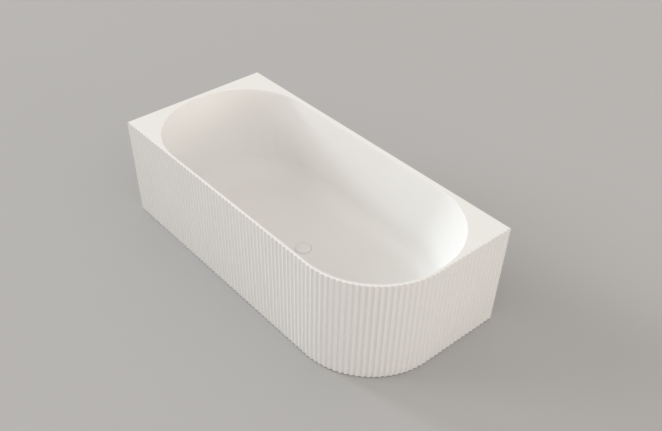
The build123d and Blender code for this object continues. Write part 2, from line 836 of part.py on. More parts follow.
# Spindle that carries the cap
cap_plate_bottom = cap_bottom + cap_seal_thickness
cap_boss_bottom = cartridge_top_height + cap_boss_gap
spindle_top = cap_plate_bottom + cap_seal_thickness
with BuildPart() as cap_spindle:
    with BuildSketch(Plane.XY.offset(spindle_bottom_height)):
        with Locations(waste_centre):
            Circle(cartridge_bore_radius - moving_gap)
    extrude(amount=spindle_head_height)
    with BuildSketch(Plane.XY.offset(spindle_bottom_height)):
        with Locations(waste_centre):
            Circle(spindle_radius)
    extrude(amount=spindle_top - spindle_bottom_height)
cap_spindle.part.label = "cap_spindle"
export_step(cap_spindle.part, "parts/cap_spindle.step")

# Domed cap, with a boss over the spindle and an edge that hides its seal
dome_rise = cap_crown_height - cap_edge_height
dome_radius = (cap_radius**2 + dome_rise**2) / (2 * dome_rise)
dome_half_turn = asin(cap_radius / dome_radius) / 2
with BuildPart() as waste_cap:
    with BuildSketch(waste_profile_plane):
        with BuildLine():
            Polyline(
                (0, cap_bottom + cap_crown_height),
                (0, spindle_top),
                (spindle_radius + thread_clearance, spindle_top),
                (spindle_radius + thread_clearance, cap_boss_bottom),
                (cap_boss_radius, cap_boss_bottom),
                (cap_boss_radius, cap_plate_bottom),
                (cap_radius - cap_edge_wall, cap_plate_bottom),
                (cap_radius - cap_edge_wall, cap_bottom),
                (cap_radius, cap_bottom),
                (cap_radius, cap_bottom + cap_edge_height),
            )
            ThreePointArc(
                (cap_radius, cap_bottom + cap_edge_height),
                (
                    dome_radius * sin(dome_half_turn),
                    cap_bottom + cap_crown_height - dome_radius * (1 - cos(dome_half_turn)),
                ),
                (0, cap_bottom + cap_crown_height),
            )
        make_face()
    revolve(axis=waste_axis)
waste_cap.part.label = "waste_cap"
export_step(waste_cap.part, "parts/waste_cap.step")

# Seal ring under the cap
with BuildPart() as cap_seal:
    add_ring(cap_bottom, cap_seal_thickness, cap_seal_outer_radius, cap_seal_inner_radius)
cap_seal.part.label = "cap_seal"
export_step(cap_seal.part, "parts/cap_seal.step")

# Outlet tailpiece with a collar for the union nut and a plain spigot that points down
outlet_seat_height = tail_bottom_height - outlet_washer_thickness
outlet_collar_bottom_height = outlet_seat_height - outlet_collar_height
outlet_bore_radius = pipe_radius - pipe_wall
neck_bottom_height = outlet_collar_bottom_height - neck_length
spigot_length = neck_bottom_height - spigot_bottom_height
with BuildPart() as outlet_tailpiece:
    add_ring(spigot_bottom_height, spigot_length, pipe_radius, outlet_bore_radius)
    add_ring(neck_bottom_height, neck_length, pipe_radius - neck_depth, outlet_bore_radius)
    add_ring(outlet_collar_bottom_height, outlet_collar_height, outlet_collar_radius, outlet_bore_radius)
outlet_tailpiece.part.label = "outlet_tailpiece"
export_step(outlet_tailpiece.part, "parts/outlet_tailpiece.step")

# Washer between the tail and the tailpiece
with BuildPart() as outlet_washer:
    add_ring(outlet_seat_height, outlet_washer_thickness, tail_radius, outlet_bore_radius)
outlet_washer.part.label = "outlet_washer"
export_step(outlet_washer.part, "parts/outlet_washer.step")

# Union nut that draws the tailpiece up to the tail
union_nut_bottom_height = outlet_collar_bottom_height - union_nut_drop
with BuildPart() as union_nut:
    with BuildSketch(Plane.XY.offset(union_nut_bottom_height)):
        with Locations(waste_centre):
            RegularPolygon(hexagon_radius(union_nut_across_flats), 6)
    extrude(amount=union_nut_height)
    cut_round_holes(
        Plane.XY.offset(union_nut_bottom_height),
        [waste_centre],
        pipe_radius + thread_clearance,
        union_nut_height,
    )
    cut_round_holes(
        Plane.XY.offset(outlet_collar_bottom_height),
        [waste_centre],
        tail_radius + thread_clearance,
        union_nut_height - union_nut_drop,
    )
union_nut.part.label = "union_nut"
export_step(union_nut.part, "parts/union_nut.step")
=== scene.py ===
# %% [markdown]
# # A fluted bath for a corner
# This lesson dresses a bath that is made for a corner. Its left end and its back are plain,
# and flutes run round its front and its free right end. The solids come from the CAD model,
# in metres, with +X towards the free end, +Y towards the back and Z up from the floor. Each
# step makes one piece or one finish, rides it on the body that carries it, and prints what
# it made.

import json
from functools import partial
from math import acos, asin, atan, atan2, cos, hypot, pi, radians, sin, sqrt, tan

import bmesh
import bpy
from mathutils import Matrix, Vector
from mathutils.geometry import tessellate_polygon


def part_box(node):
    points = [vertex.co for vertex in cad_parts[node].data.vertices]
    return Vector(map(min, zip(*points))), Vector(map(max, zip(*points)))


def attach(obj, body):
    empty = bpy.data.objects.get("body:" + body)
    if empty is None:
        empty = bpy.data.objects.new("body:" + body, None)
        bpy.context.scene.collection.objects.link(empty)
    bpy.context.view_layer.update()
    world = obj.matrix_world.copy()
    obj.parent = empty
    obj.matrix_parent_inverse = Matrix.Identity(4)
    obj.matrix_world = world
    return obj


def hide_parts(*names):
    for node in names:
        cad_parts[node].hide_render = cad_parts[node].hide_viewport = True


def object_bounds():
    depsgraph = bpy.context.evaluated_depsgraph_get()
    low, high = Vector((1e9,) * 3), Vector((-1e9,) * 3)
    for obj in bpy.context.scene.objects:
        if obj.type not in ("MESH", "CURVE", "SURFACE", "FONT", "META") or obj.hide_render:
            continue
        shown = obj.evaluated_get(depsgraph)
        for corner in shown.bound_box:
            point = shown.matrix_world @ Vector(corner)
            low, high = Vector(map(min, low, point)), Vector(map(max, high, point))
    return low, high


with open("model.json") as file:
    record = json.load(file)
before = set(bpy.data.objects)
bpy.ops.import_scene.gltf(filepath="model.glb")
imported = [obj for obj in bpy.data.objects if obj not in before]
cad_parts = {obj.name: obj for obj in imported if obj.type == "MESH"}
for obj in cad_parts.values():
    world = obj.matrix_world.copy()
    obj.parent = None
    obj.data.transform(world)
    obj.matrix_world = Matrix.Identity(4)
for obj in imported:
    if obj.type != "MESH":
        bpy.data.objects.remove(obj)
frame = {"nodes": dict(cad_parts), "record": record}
cad_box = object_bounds()
nodes = frame["nodes"]
scene = bpy.context.scene
for piece in nodes.values():
    piece.data.materials.clear()
for old in list(bpy.data.materials):
    bpy.data.materials.remove(old)

# %% [markdown]
# ## Sizes
# The pieces made here stand in for solids of the CAD model, so they keep its sizes.
# Places and levels are read from the boxes of the solids. The sizes that no box shows
# are written once, in metres, and every shape below is worked out from them.

# %% Places read from the solids
def levels(node):
    """The lowest and the highest level of a solid."""
    low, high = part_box(node)
    return low[2], high[2]


def middle(node):
    """Where the middle of a solid lies, seen from above."""
    low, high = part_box(node)
    return (low[0] + high[0]) / 2, (low[1] + high[1]) / 2


left, front = cad_box[0][:2]
right, back, deck_top = cad_box[1]
skirt_bottom, deck_underside = levels("fluted_skirt")
rail_low, rail_top = levels("front_rail")
print("deck", round(deck_top, 4), "underside", round(deck_underside, 4), "rail", round(rail_top, 4))

# %% Sizes of the bath
corner_radius = 0.368
front_run = right - left - corner_radius
end_run = back - front - corner_radius
flute_count, flute_depth, flute_radius = 95, 0.005, 0.013
rim_left, rim_right, rim_front, rim_back = 0.028, 0.015, 0.015, 0.024
basin_x, basin_y = (left + rim_left + right - rim_right) / 2, (front + rim_front + back - rim_back) / 2
rim_half_length = (right - left - rim_left - rim_right) / 2
rim_half_width = (back - front - rim_front - rim_back) / 2
rim_corner = corner_radius - rim_front
shell_wall, floor_level, floor_fall = 0.006, 0.080, 0.008
end_slope, side_slope, end_bend, side_bend = 0.265, 0.140, 0.160, 0.110
recess_radius, recess_depth, hole_radius = 0.041, 0.003, 0.0245
floor_edge, recess_floor = floor_level + floor_fall, floor_level - recess_depth
print("crest line", round(front_run + corner_radius * pi / 2 + end_run, 4), "m")

# %% [markdown]
# ## Helpers for node trees
# Geometry Nodes and shader nodes are both trees of nodes joined by links. Four small
# helpers keep them short. One gives a socket a value or a link, one adds a maths node, one
# picks one of two values, and one adds any other node with its inputs set.

# %% Feed a socket, and add a node
def feed(tree, socket, value):
    """Gives a socket a plain value, or links another node's output to it."""
    if isinstance(value, bpy.types.NodeSocket):
        tree.links.new(value, socket)
    else:
        socket.default_value = value


def calc(tree, operation, *values):
    """A maths node, and what it puts out."""
    node = tree.nodes.new("ShaderNodeMath")
    node.operation = operation
    for socket, value in zip(node.inputs, values):
        feed(tree, socket, value)
    return node.outputs[0]


def choose(tree, switch, when_off, when_on):
    """One of two values, by a switch of 0 or 1."""
    return calc(tree, "MULTIPLY_ADD", switch, calc(tree, "SUBTRACT", when_on, when_off), when_off)


def add(tree, kind, settings=None, **values):
    """A node with its settings, and its inputs by name with spaces for underscores."""
    node = tree.nodes.new(kind)
    for setting, value in (settings or {}).items():
        setattr(node, setting, value)
    for title, value in values.items():
        feed(tree, node.inputs[title.replace("_", " ")], value)
    return node


# %% [markdown]
# A tree of Geometry Nodes states its own sizes as named inputs. The piece is grown once,
# and what comes out is kept as a plain mesh, so the modifier is gone before the piece is
# handed on.

# %% Start a tree, and end it
SHAPE, NUMBER, COUNT = "NodeSocketGeometry", "NodeSocketFloat", "NodeSocketInt"


def start_tree(name, numbers, counts, others=None):
    """A new tree of Geometry Nodes with named inputs, and its group input's outputs."""
    tree = bpy.data.node_groups.new(name, "GeometryNodeTree")
    inputs = {**(others or {}), **dict.fromkeys(numbers, NUMBER), **dict.fromkeys(counts, COUNT)}
    for title, kind in inputs.items():
        tree.interface.new_socket(title, in_out="INPUT", socket_type=kind)
    tree.interface.new_socket("Material", in_out="INPUT", socket_type="NodeSocketMaterial")
    tree.interface.new_socket("Mesh", in_out="OUTPUT", socket_type=SHAPE)
    return tree, tree.nodes.new("NodeGroupInput").outputs


def end_tree(tree, shape, material):
    """Makes instances real, gives them their material and ends the tree."""
    real = add(tree, "GeometryNodeRealizeInstances", Geometry=shape)
    painted = add(tree, "GeometryNodeSetMaterial", Geometry=real.outputs[0], Material=material)
    add(tree, "NodeGroupOutput", Mesh=painted.outputs[0])


# %% Grow a mesh from a tree
def new_piece(name, points, edges=(), faces=()):
    """A piece whose mesh has these points, edges and faces."""
    mesh = bpy.data.meshes.new(name)
    mesh.from_pydata([tuple(point) for point in points], list(edges), list(faces))
    piece = bpy.data.objects.new(name, mesh)
    scene.collection.objects.link(piece)
    return piece


def grow(name, tree, values, points=(), edges=(), facing=()):
    """A piece grown by a tree from its inputs and places, kept as a plain mesh."""
    piece = new_piece(name, points, edges)
    if facing:
        turns = piece.data.attributes.new("facing", "FLOAT_VECTOR", "POINT")
        for place, turn in enumerate(facing):
            turns.data[place].vector = turn
    modifier = piece.modifiers.new(tree.name, "NODES")
    modifier.node_group = tree
    for socket in tree.interface.items_tree:
        if socket.in_out == "INPUT" and socket.name in values:
            modifier[socket.identifier] = values[socket.name]
    graph = bpy.context.evaluated_depsgraph_get()
    grown = bpy.data.meshes.new_from_object(
        piece.evaluated_get(graph), preserve_all_data_layers=True, depsgraph=graph
    )
    grown.materials.clear()
    grown.materials.append(values["Material"])
    piece.modifiers.clear()
    piece.data = grown
    grown.name = name
    return piece


# %% [markdown]
# ## Shader groups
# No moulded, cast or painted surface is quite even. One group gives every finish its own
# slow drift of tone and its fine grain, and a second one gives thin dust and scuffs. A
# group is built once and set to other values in each material.

# %% Start a shader group, and stretch a noise
def shader_group(name, inputs, outputs):
    """A new shader group with named number inputs and outputs."""
    tree = bpy.data.node_groups.new(name, "ShaderNodeTree")
    for title, value in inputs.items():
        socket = tree.interface.new_socket(title, in_out="INPUT", socket_type=NUMBER)
        socket.default_value = value
    for title in outputs:
        tree.interface.new_socket(title, in_out="OUTPUT", socket_type=NUMBER)
    return tree, tree.nodes.new("NodeGroupInput").outputs


def noise_in(tree, place, scale, detail, low=None, high=None):
    """A noise, and where two levels are given, stretched between them."""
    noise = add(tree, "ShaderNodeTexNoise", Vector=place, Scale=scale, Detail=detail).outputs[0]
    if low is None:
        return noise
    return add(tree, "ShaderNodeMapRange", Value=noise, From_Min=low, From_Max=high).outputs[0]


# %% Soft mottle and handling marks
def build_mottle():
    """Slow drift of tone and fine grain from two noises."""
    scales = {"Drift scale": 6, "Grain scale": 400}
    tree, source = shader_group("Soft mottle", scales, ("Drift", "Grain"))
    place = add(tree, "ShaderNodeTexCoord").outputs["Object"]
    drift = noise_in(tree, place, source["Drift scale"], detail=3, low=0.3, high=0.7)
    grain = noise_in(tree, place, source["Grain scale"], detail=2)
    add(tree, "NodeGroupOutput", Drift=drift, Grain=grain)
    return tree


def build_marks():
    """A mask of thin scuffs: fine stretched noise, seen only in patches."""
    scales = {"Patch scale": 9, "Scuff scale": 90}
    tree, source = shader_group("Handling marks", scales, ("Scuffs", "Dust"))
    place = add(tree, "ShaderNodeTexCoord").outputs["Object"]
    stretched = add(tree, "ShaderNodeMapping", Vector=place, Scale=(1, 0.15, 0.6)).outputs[0]
    patches = noise_in(tree, place, source["Patch scale"], detail=4, low=0.52, high=0.66)
    lines = noise_in(tree, stretched, source["Scuff scale"], detail=6, low=0.56, high=0.62)
    add(tree, "NodeGroupOutput", Scuffs=calc(tree, "MULTIPLY", patches, lines), Dust=patches)
    return tree


mottle = build_mottle()
marks = build_marks()
print("groups", mottle.name, "and", marks.name)

# %% [markdown]
# ## Finishes
# Most finishes here differ in few things: two close tones, a roughness that wanders a
# little, the height of the grain, and how much scuffs show. One function builds them from
# the two groups, so that the differences stay easy to read. A finish has the name of the
# record's slot that it fills.

# %% Build a finish
def finish(name, tone, second_tone, rough, metallic=0.0, drift=6.0, grain=400.0, height=0.00002,
           scuff_tone=None, scuffs=0.0, coat=0.0):
    """A material from two tones, a range of roughness, and grain of a height in metres."""
    material = bpy.data.materials.new(name)
    material.use_nodes = True
    tree = material.node_tree
    soft = add(tree, "ShaderNodeGroup", {"node_tree": mottle}, Drift_scale=drift, Grain_scale=grain)
    worn = add(tree, "ShaderNodeGroup", {"node_tree": marks})

    def blend(share, one, two):
        """A mix of two colours."""
        mix = add(tree, "ShaderNodeMix", {"data_type": "RGBA"}, Factor=share, A=one, B=two)
        return mix.outputs["Result"]

    tones = blend(soft.outputs["Drift"], (*tone, 1), (*second_tone, 1))
    rubbed = calc(tree, "MULTIPLY", worn.outputs["Scuffs"], scuffs)
    spread = add(tree, "ShaderNodeMapRange", Value=soft.outputs["Drift"],
                 To_Min=rough[0], To_Max=rough[1])
    bump = add(tree, "ShaderNodeBump", Height=soft.outputs["Grain"], Distance=height, Strength=1.0)
    shader = tree.nodes["Principled BSDF"]
    for title, value in {
        "Metallic": metallic, "Coat Weight": coat, "Roughness": spread.outputs[0],
        "Normal": bump.outputs[0], "Base Color": blend(rubbed, tones, (*(scuff_tone or tone), 1)),
    }.items():
        feed(tree, shader.inputs[title], value)
    return material


# %% [markdown]
# The bath is vacuum-formed acrylic with a matt skin, a warm white. Formed acrylic is very
# even, so its tone hardly moves and its skin has only the faintest grain. Under the basin
# it is backed with chopped glass fibre in resin, rough and a little green, which is the
# shell's second finish. Noise that is drawn out long gives the strands. A picture of real
# strands would repeat and blur, and noise stays fine from any distance.

# %% Acrylic and glass fibre
bath_acrylic = finish(
    "bath_acrylic", (0.80, 0.797, 0.785), (0.81, 0.807, 0.795), (0.50, 0.58), drift=3, grain=900,
    height=0.000006, scuff_tone=(0.74, 0.73, 0.70), scuffs=0.05,
)


def build_glass_fibre(strand_height=0.0012, lays=((0.4, 160), (1.5, 190), (2.6, 150))):
    """Chopped strands in resin, laid at a few turns, each with its own fineness."""
    material = finish(
        "glass_fibre", (0.62, 0.64, 0.55), (0.74, 0.75, 0.68), (0.32, 0.62), drift=14, grain=260
    )
    tree = material.node_tree
    place = add(tree, "ShaderNodeTexCoord").outputs["Object"]
    crossed = 0.0
    for turn, fineness in lays:
        laid = add(tree, "ShaderNodeMapping", Vector=place, Rotation=(turn, turn / 2, turn))
        drawn_out = add(tree, "ShaderNodeMapping", Vector=laid.outputs[0], Scale=(1, 0.06, 1))
        strands = noise_in(tree, drawn_out.outputs[0], fineness, detail=2)
        crossed = calc(tree, "MAXIMUM", crossed, strands)
    bump = add(tree, "ShaderNodeBump", Height=crossed, Distance=strand_height, Strength=1.0)
    feed(tree, tree.nodes["Principled BSDF"].inputs["Normal"], bump.outputs[0])
    return material


glass_fibre = build_glass_fibre()
print("finishes", bath_acrylic.name, glass_fibre.name)

# %% [markdown]
# The hidden hardware is ordinary: raw fibreboard, powder-coated tube, galvanised and
# zinc-plated steel, turned brass, spring wire, rubber, and moulded plastics. In the end
# every solid gets the finish of its slot, so those that keep their own shape, such as the
# tubes and the brackets, are dressed by that alone.

# %% Board, metals and rubber
finish(
    "board", (0.42, 0.29, 0.17), (0.50, 0.36, 0.22), (0.75, 0.9), drift=22, grain=700,
    height=0.00025, scuff_tone=(0.60, 0.47, 0.32), scuffs=0.5,
)
frame_steel = finish(
    "frame_steel", (0.36, 0.37, 0.38), (0.40, 0.41, 0.42), (0.42, 0.55), drift=12, grain=900,
    height=0.00012, scuff_tone=(0.55, 0.56, 0.57), scuffs=0.5,
)
finish(
    "bracket_steel", (0.52, 0.54, 0.55), (0.66, 0.68, 0.70), (0.28, 0.48), 1.0, drift=60, grain=500,
    height=0.00004, scuff_tone=(0.42, 0.43, 0.43), scuffs=0.4,
)
zinc_steel = finish(
    "zinc_steel", (0.60, 0.60, 0.57), (0.70, 0.70, 0.68), (0.22, 0.36), 1.0, drift=90, grain=900,
    height=0.00002, scuff_tone=(0.45, 0.44, 0.40), scuffs=0.3,
)
finish("waste_brass", (0.66, 0.50, 0.24), (0.74, 0.58, 0.30), (0.20, 0.34), 1.0, drift=80, grain=900)
finish("spring_steel", (0.50, 0.50, 0.50), (0.60, 0.60, 0.60), (0.25, 0.35), 1.0, drift=90)
finish(
    "seal_rubber", (0.022, 0.022, 0.022), (0.035, 0.035, 0.035), (0.65, 0.8), drift=50, grain=1200,
    height=0.00006,
)
print("finishes", len(bpy.data.materials))

# %% Plastics and the waste's white coat
finish(
    "black_plastic", (0.030, 0.030, 0.032), (0.045, 0.045, 0.047), (0.45, 0.6), drift=40, grain=1500,
    height=0.00005, scuff_tone=(0.12, 0.12, 0.12), scuffs=0.4,
)
foot_plastic = finish(
    "foot_plastic", (0.055, 0.055, 0.060), (0.075, 0.075, 0.080), (0.4, 0.55), drift=40, grain=1500,
    height=0.00005, scuff_tone=(0.16, 0.16, 0.16), scuffs=0.5,
)
nut_plastic = finish(
    "nut_plastic", (0.66, 0.66, 0.63), (0.70, 0.70, 0.67), (0.38, 0.5), drift=30, grain=1200,
    height=0.00004, scuff_tone=(0.55, 0.54, 0.50), scuffs=0.3,
)
pipe_plastic = finish(
    "pipe_plastic", (0.70, 0.70, 0.67), (0.74, 0.74, 0.71), (0.3, 0.42), drift=20, grain=900,
    height=0.00003, scuff_tone=(0.58, 0.57, 0.53), scuffs=0.3,
)
waste_white = finish(
    "waste_white", (0.80, 0.797, 0.785), (0.815, 0.812, 0.80), (0.42, 0.50), drift=14, grain=1100,
    height=0.00001, scuff_tone=(0.70, 0.69, 0.66), scuffs=0.1, coat=0.05,
)
for part in frame["record"]["subparts"]:
    nodes[part["node"]].data.materials.append(bpy.data.materials[part["material_slot"]])
print("finishes", len(bpy.data.materials), "on", len(nodes), "solids")

# %% [markdown]
# ## The fluted wall
# The skirt and the edge of the deck share one rule: hollow flutes with narrow rounded
# crests, at an even pitch along a line that runs straight, round one large corner and
# straight again. A modifier could sweep a section or a texture could fake the flutes, but
# the rule is simple enough for a grid whose points are each worked out, so the flutes are
# real, evenly spaced and crisp at every edge.

# %% A grid with numbered points, and how it is bent
sewing_reach = 0.000001


def numbered_grid(tree, columns, rows):
    """A flat grid, and the column and the row of each of its points."""
    grid = add(tree, "GeometryNodeMeshGrid", Vertices_X=columns, Vertices_Y=rows)
    index = add(tree, "GeometryNodeInputIndex").outputs[0]
    column = calc(tree, "FLOOR", calc(tree, "DIVIDE", index, rows))
    row = calc(tree, "SUBTRACT", index, calc(tree, "MULTIPLY", column, rows))
    return grid.outputs[0], column, row


def end_bent_grid(tree, grid, x, y, level, material):
    """Moves a grid's points to their places, sews the edges that meet and ends the tree."""
    point = add(tree, "ShaderNodeCombineXYZ", X=x, Y=y, Z=level)
    bent = add(tree, "GeometryNodeSetPosition", Geometry=grid, Position=point.outputs[0])
    sewn = add(tree, "GeometryNodeMergeByDistance", Geometry=bent.outputs[0], Distance=sewing_reach)
    end_tree(tree, sewn.outputs[0], material)


def within(tree, value, low, high):
    """A value that stays between two limits."""
    return calc(tree, "MINIMUM", calc(tree, "MAXIMUM", value, low), high)


# %% [markdown]
# The flute's section is two arcs, a crest and a hollow, that meet without a corner. Each
# column of the grid lies at one place along the crest line, with a few columns on each
# half of a crest and more across the hollow.

# %% Where a column lies, and how deep the flute is there
def flute_columns(tree, source, column, per_flute, step):
    """Each column's run along the crest line, and the depth of the flute there."""
    do = partial(calc, tree)
    just_short = 0.999
    half_step = do("MULTIPLY", step, 0.5)
    angle = do("MULTIPLY", do("ARCTANGENT", do("DIVIDE", source["Flute depth"], half_step)), 2)
    crest_radius = do("SUBTRACT", do("DIVIDE", half_step, do("SINE", angle)), source["Flute radius"])
    shoulder = do("MULTIPLY", crest_radius, do("SINE", angle))

    flute = do("FLOOR", do("DIVIDE", column, per_flute))
    place = do("SUBTRACT", column, do("MULTIPLY", flute, per_flute))
    crest_end = do("ADD", source["Crest columns"], source["Hollow columns"])
    rise = do("DIVIDE", do("MINIMUM", place, source["Crest columns"]), source["Crest columns"])
    fall = do("DIVIDE", do("MAXIMUM", do("SUBTRACT", place, crest_end), 0), source["Crest columns"])
    hollow = do("DIVIDE", do("SUBTRACT", place, source["Crest columns"]), source["Hollow columns"])
    hollow_width = do("SUBTRACT", step, do("MULTIPLY", shoulder, 2))
    hollow_run = do("MULTIPLY", within(tree, hollow, 0, 1), hollow_width)
    run = do("MULTIPLY_ADD", do("ADD", rise, fall), shoulder, hollow_run)

    def sagitta(radius, reach):
        """How far an arc has dropped at a distance from its top."""
        square = do("SUBTRACT", do("POWER", radius, 2), do("POWER", reach, 2))
        return do("SUBTRACT", radius, do("SQRT", do("MAXIMUM", square, 0)))

    from_crest = do("MINIMUM", run, do("SUBTRACT", step, run))
    hollow_rise = sagitta(source["Flute radius"], do("SUBTRACT", half_step, from_crest))
    hollow_depth = do("SUBTRACT", source["Flute depth"], hollow_rise)
    on_crest = do("LESS_THAN", from_crest, do("MULTIPLY", shoulder, just_short))
    depth = choose(tree, on_crest, hollow_depth, sagitta(crest_radius, from_crest))
    return do("MULTIPLY_ADD", flute, step, run), depth


# %% [markdown]
# The rows go up the section, from its rounded foot to its rounded head and, where it is
# closed, back down the smooth inside. Each row has a level and an inset from the crest
# line, to which the flute's depth is added on the outside.

# %% How high a row lies, and how far in
def section_rows(tree, source, row, outer_rows, flute_depth_there):
    """Each row's inset from the crest line, and its level."""
    do = partial(calc, tree)
    low_steps, high_steps = source["Low steps"], source["High steps"]
    low_turn = do("MULTIPLY", do("DIVIDE", row, do("MAXIMUM", low_steps, 1)), pi / 2)
    above = do("SUBTRACT", do("SUBTRACT", row, low_steps), 1)
    high_turn = do("MULTIPLY", do("DIVIDE", above, do("MAXIMUM", high_steps, 1)), pi / 2)

    def rounded_by(rounding, wave, turn):
        """What a rounding takes off at a turn, by its sine or its cosine."""
        return do("MULTIPLY", rounding, do("SUBTRACT", 1, do(wave, turn)))

    low_inset = rounded_by(source["Low rounding"], "SINE", low_turn)
    low_level = do("ADD", rounded_by(source["Low rounding"], "COSINE", low_turn), source["Low"])
    high_inset = rounded_by(source["High rounding"], "COSINE", high_turn)
    high_level = do("SUBTRACT", source["High"], rounded_by(source["High rounding"], "SINE", high_turn))

    on_foot = do("LESS_THAN", row, do("ADD", low_steps, 0.5))
    on_inside = do("GREATER_THAN", row, do("SUBTRACT", outer_rows, 0.5))
    on_inside_foot = do("GREATER_THAN", row, do("ADD", outer_rows, 0.5))
    outer_inset = do("ADD", flute_depth_there, choose(tree, on_foot, high_inset, low_inset))
    outer_level = choose(tree, on_foot, high_level, low_level)
    inner_level = choose(tree, on_inside_foot, source["High"], source["Low"])
    inset = choose(tree, on_inside, outer_inset, source["Wall"])
    return inset, choose(tree, on_inside, outer_level, inner_level)


# %% [markdown]
# A column's run and a row's inset are then carried round the bath: straight along the
# front, round the corner and straight along the end.

# %% The tree for the fluted wall
def build_fluted_wall():
    """A grid bent into a fluted wall: columns along the crest line, rows up the section."""
    numbers = (
        "Left", "Front", "Front run", "Corner radius", "End run", "Flute depth", "Flute radius",
        "Low", "High", "Low rounding", "High rounding", "Wall",
    )
    counts = ("Flute count", "Crest columns", "Hollow columns", "Low steps", "High steps", "Closed")
    tree, source = start_tree("Fluted wall", numbers, counts)
    do = partial(calc, tree)
    straight, radius = source["Front run"], source["Corner radius"]
    corner_run = do("MULTIPLY", radius, pi / 2)
    crest_run = do("ADD", do("ADD", straight, corner_run), source["End run"])
    step = do("DIVIDE", crest_run, source["Flute count"])

    per_flute = do("MULTIPLY_ADD", source["Crest columns"], 2, source["Hollow columns"])
    columns = do("MULTIPLY_ADD", source["Flute count"], per_flute, 1)
    outer_rows = do("ADD", do("ADD", source["Low steps"], source["High steps"]), 2)
    rows = do("MULTIPLY_ADD", source["Closed"], 3, outer_rows)
    grid, column, grid_row = numbered_grid(tree, columns, rows)
    row = do("MODULO", grid_row, do("ADD", outer_rows, 2))
    run, flute_depth_there = flute_columns(tree, source, column, per_flute, step)
    inset, level = section_rows(tree, source, row, outer_rows, flute_depth_there)

    past_front = do("SUBTRACT", run, straight)
    turn = within(tree, do("DIVIDE", past_front, radius), 0, pi / 2)
    ahead = do("MINIMUM", run, straight)
    beyond = do("MAXIMUM", do("SUBTRACT", past_front, corner_run), 0)
    reach = do("SUBTRACT", radius, inset)
    x = do("ADD", do("ADD", source["Left"], ahead), do("MULTIPLY", reach, do("SINE", turn)))
    middle_y = do("ADD", do("ADD", source["Front"], radius), beyond)
    y = do("SUBTRACT", middle_y, do("MULTIPLY", reach, do("COSINE", turn)))
    end_bent_grid(tree, grid, x, y, level, source["Material"])
    return tree


fluted_wall = build_fluted_wall()
wall_sizes = {
    "Left": left, "Front": front, "Front run": front_run, "Corner radius": corner_radius,
    "End run": end_run, "Flute count": flute_count, "Flute depth": flute_depth,
    "Flute radius": flute_radius, "Crest columns": 3, "Hollow columns": 10, "Material": bath_acrylic,
}
print("tree", fluted_wall.name, "with", len(fluted_wall.nodes), "nodes")

# %% [markdown]
# ## The skirt
# The skirt is a formed panel that hides the frame. It is the fluted wall with a smooth
# inside, with a short return that turns in at each end and a block behind each bracket.
# The tree leaves its two ends open, so they are filled here. The returns and the blocks
# are plain boxes, which are added to the same mesh.

# %% Edit a mesh, join meshes and add a box
def reshape(piece, work=None):
    """Opens a piece's mesh for an edit, turns its faces outwards and writes it back."""
    shape = bmesh.new()
    shape.from_mesh(piece.data)
    if work:
        work(shape)
    bmesh.ops.recalc_face_normals(shape, faces=shape.faces)
    shape.to_mesh(piece.data)
    shape.free()
    return piece


def joined(first, *others):
    """The first piece with the others' meshes added to its own."""
    def take_in(shape):
        """Adds the other meshes."""
        for piece in others:
            shape.from_mesh(piece.data)

    reshape(first, take_in)
    for piece in others:
        bpy.data.objects.remove(piece)
    return first


def add_box(shape, low, high, bevel):
    """A box between two corners, with its edges eased by a small bevel."""
    corners = bmesh.ops.create_cube(shape, size=1.0)["verts"]
    for corner in corners:
        sides = zip(corner.co, low, high)
        corner.co = Vector(most if side > 0 else least for side, least, most in sides)
    edges = list(dict.fromkeys(edge for corner in corners for edge in corner.link_edges))
    bmesh.ops.bevel(shape, geom=edges, offset=bevel, segments=2, affect="EDGES", profile=0.5)


# %% [markdown]
# Each finished piece is handed over in the same way. Its smooth shading stops at creases,
# and its level faces keep a straight normal, so that a flat sheet of long triangles shows
# no streaks. Then the piece rides on the body that carries it, and the solid it stands
# for, if there is one, is hidden.

# %% Shade a piece, and hand it over
def shade(piece, crease=38, flat_enough=0.99999):
    """Smooth shading that stops at creases, with level faces kept quite flat."""
    mesh = piece.data
    for face in mesh.polygons:
        face.use_smooth = True
    mesh.set_sharp_from_angle(angle=radians(crease))
    level = {}
    for face in mesh.polygons:
        if abs(face.normal.z) > flat_enough:
            level.update((corner, face.normal.copy()) for corner in face.vertices)
    normals = [Vector(corner.vector) for corner in mesh.corner_normals]
    for face in mesh.polygons:
        for loop in face.loop_indices:
            flat = level.get(mesh.loops[loop].vertex_index)
            if flat and face.normal.dot(flat) > cos(radians(crease)):
                normals[loop] = flat
    mesh.normals_split_custom_set(normals)


def put(piece, body, *stands_for):
    """Shades a piece, rides it on its body, and hides the solids it stands for."""
    shade(piece)
    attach(piece, body)
    if stands_for:
        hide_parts(*stands_for)
    print(piece.name, "on", body, len(piece.data.polygons), "faces")


# %% Skirt
skirt_wall, return_wall, return_length = 0.0085, 0.007, 0.040
block_wall, block_width, block_height, block_drop = 0.006, 0.050, 0.050, 0.006
bracket_inset, bracket_count = 0.12875, 4
overlap, soft_edge, block_edge, skirt_foot_rounding = 0.001, 0.0008, 0.001, 0.0015
inner_front, inner_right = front + skirt_wall, right - skirt_wall
bracket_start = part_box("front_rail")[0][0] + bracket_inset
bracket_step = (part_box("front_rail")[1][0] - bracket_inset - bracket_start) / (bracket_count - 1)
bracket_x = [bracket_start + bracket_step * place for place in range(bracket_count)]
end_bracket_y = middle("back_rail")[1]


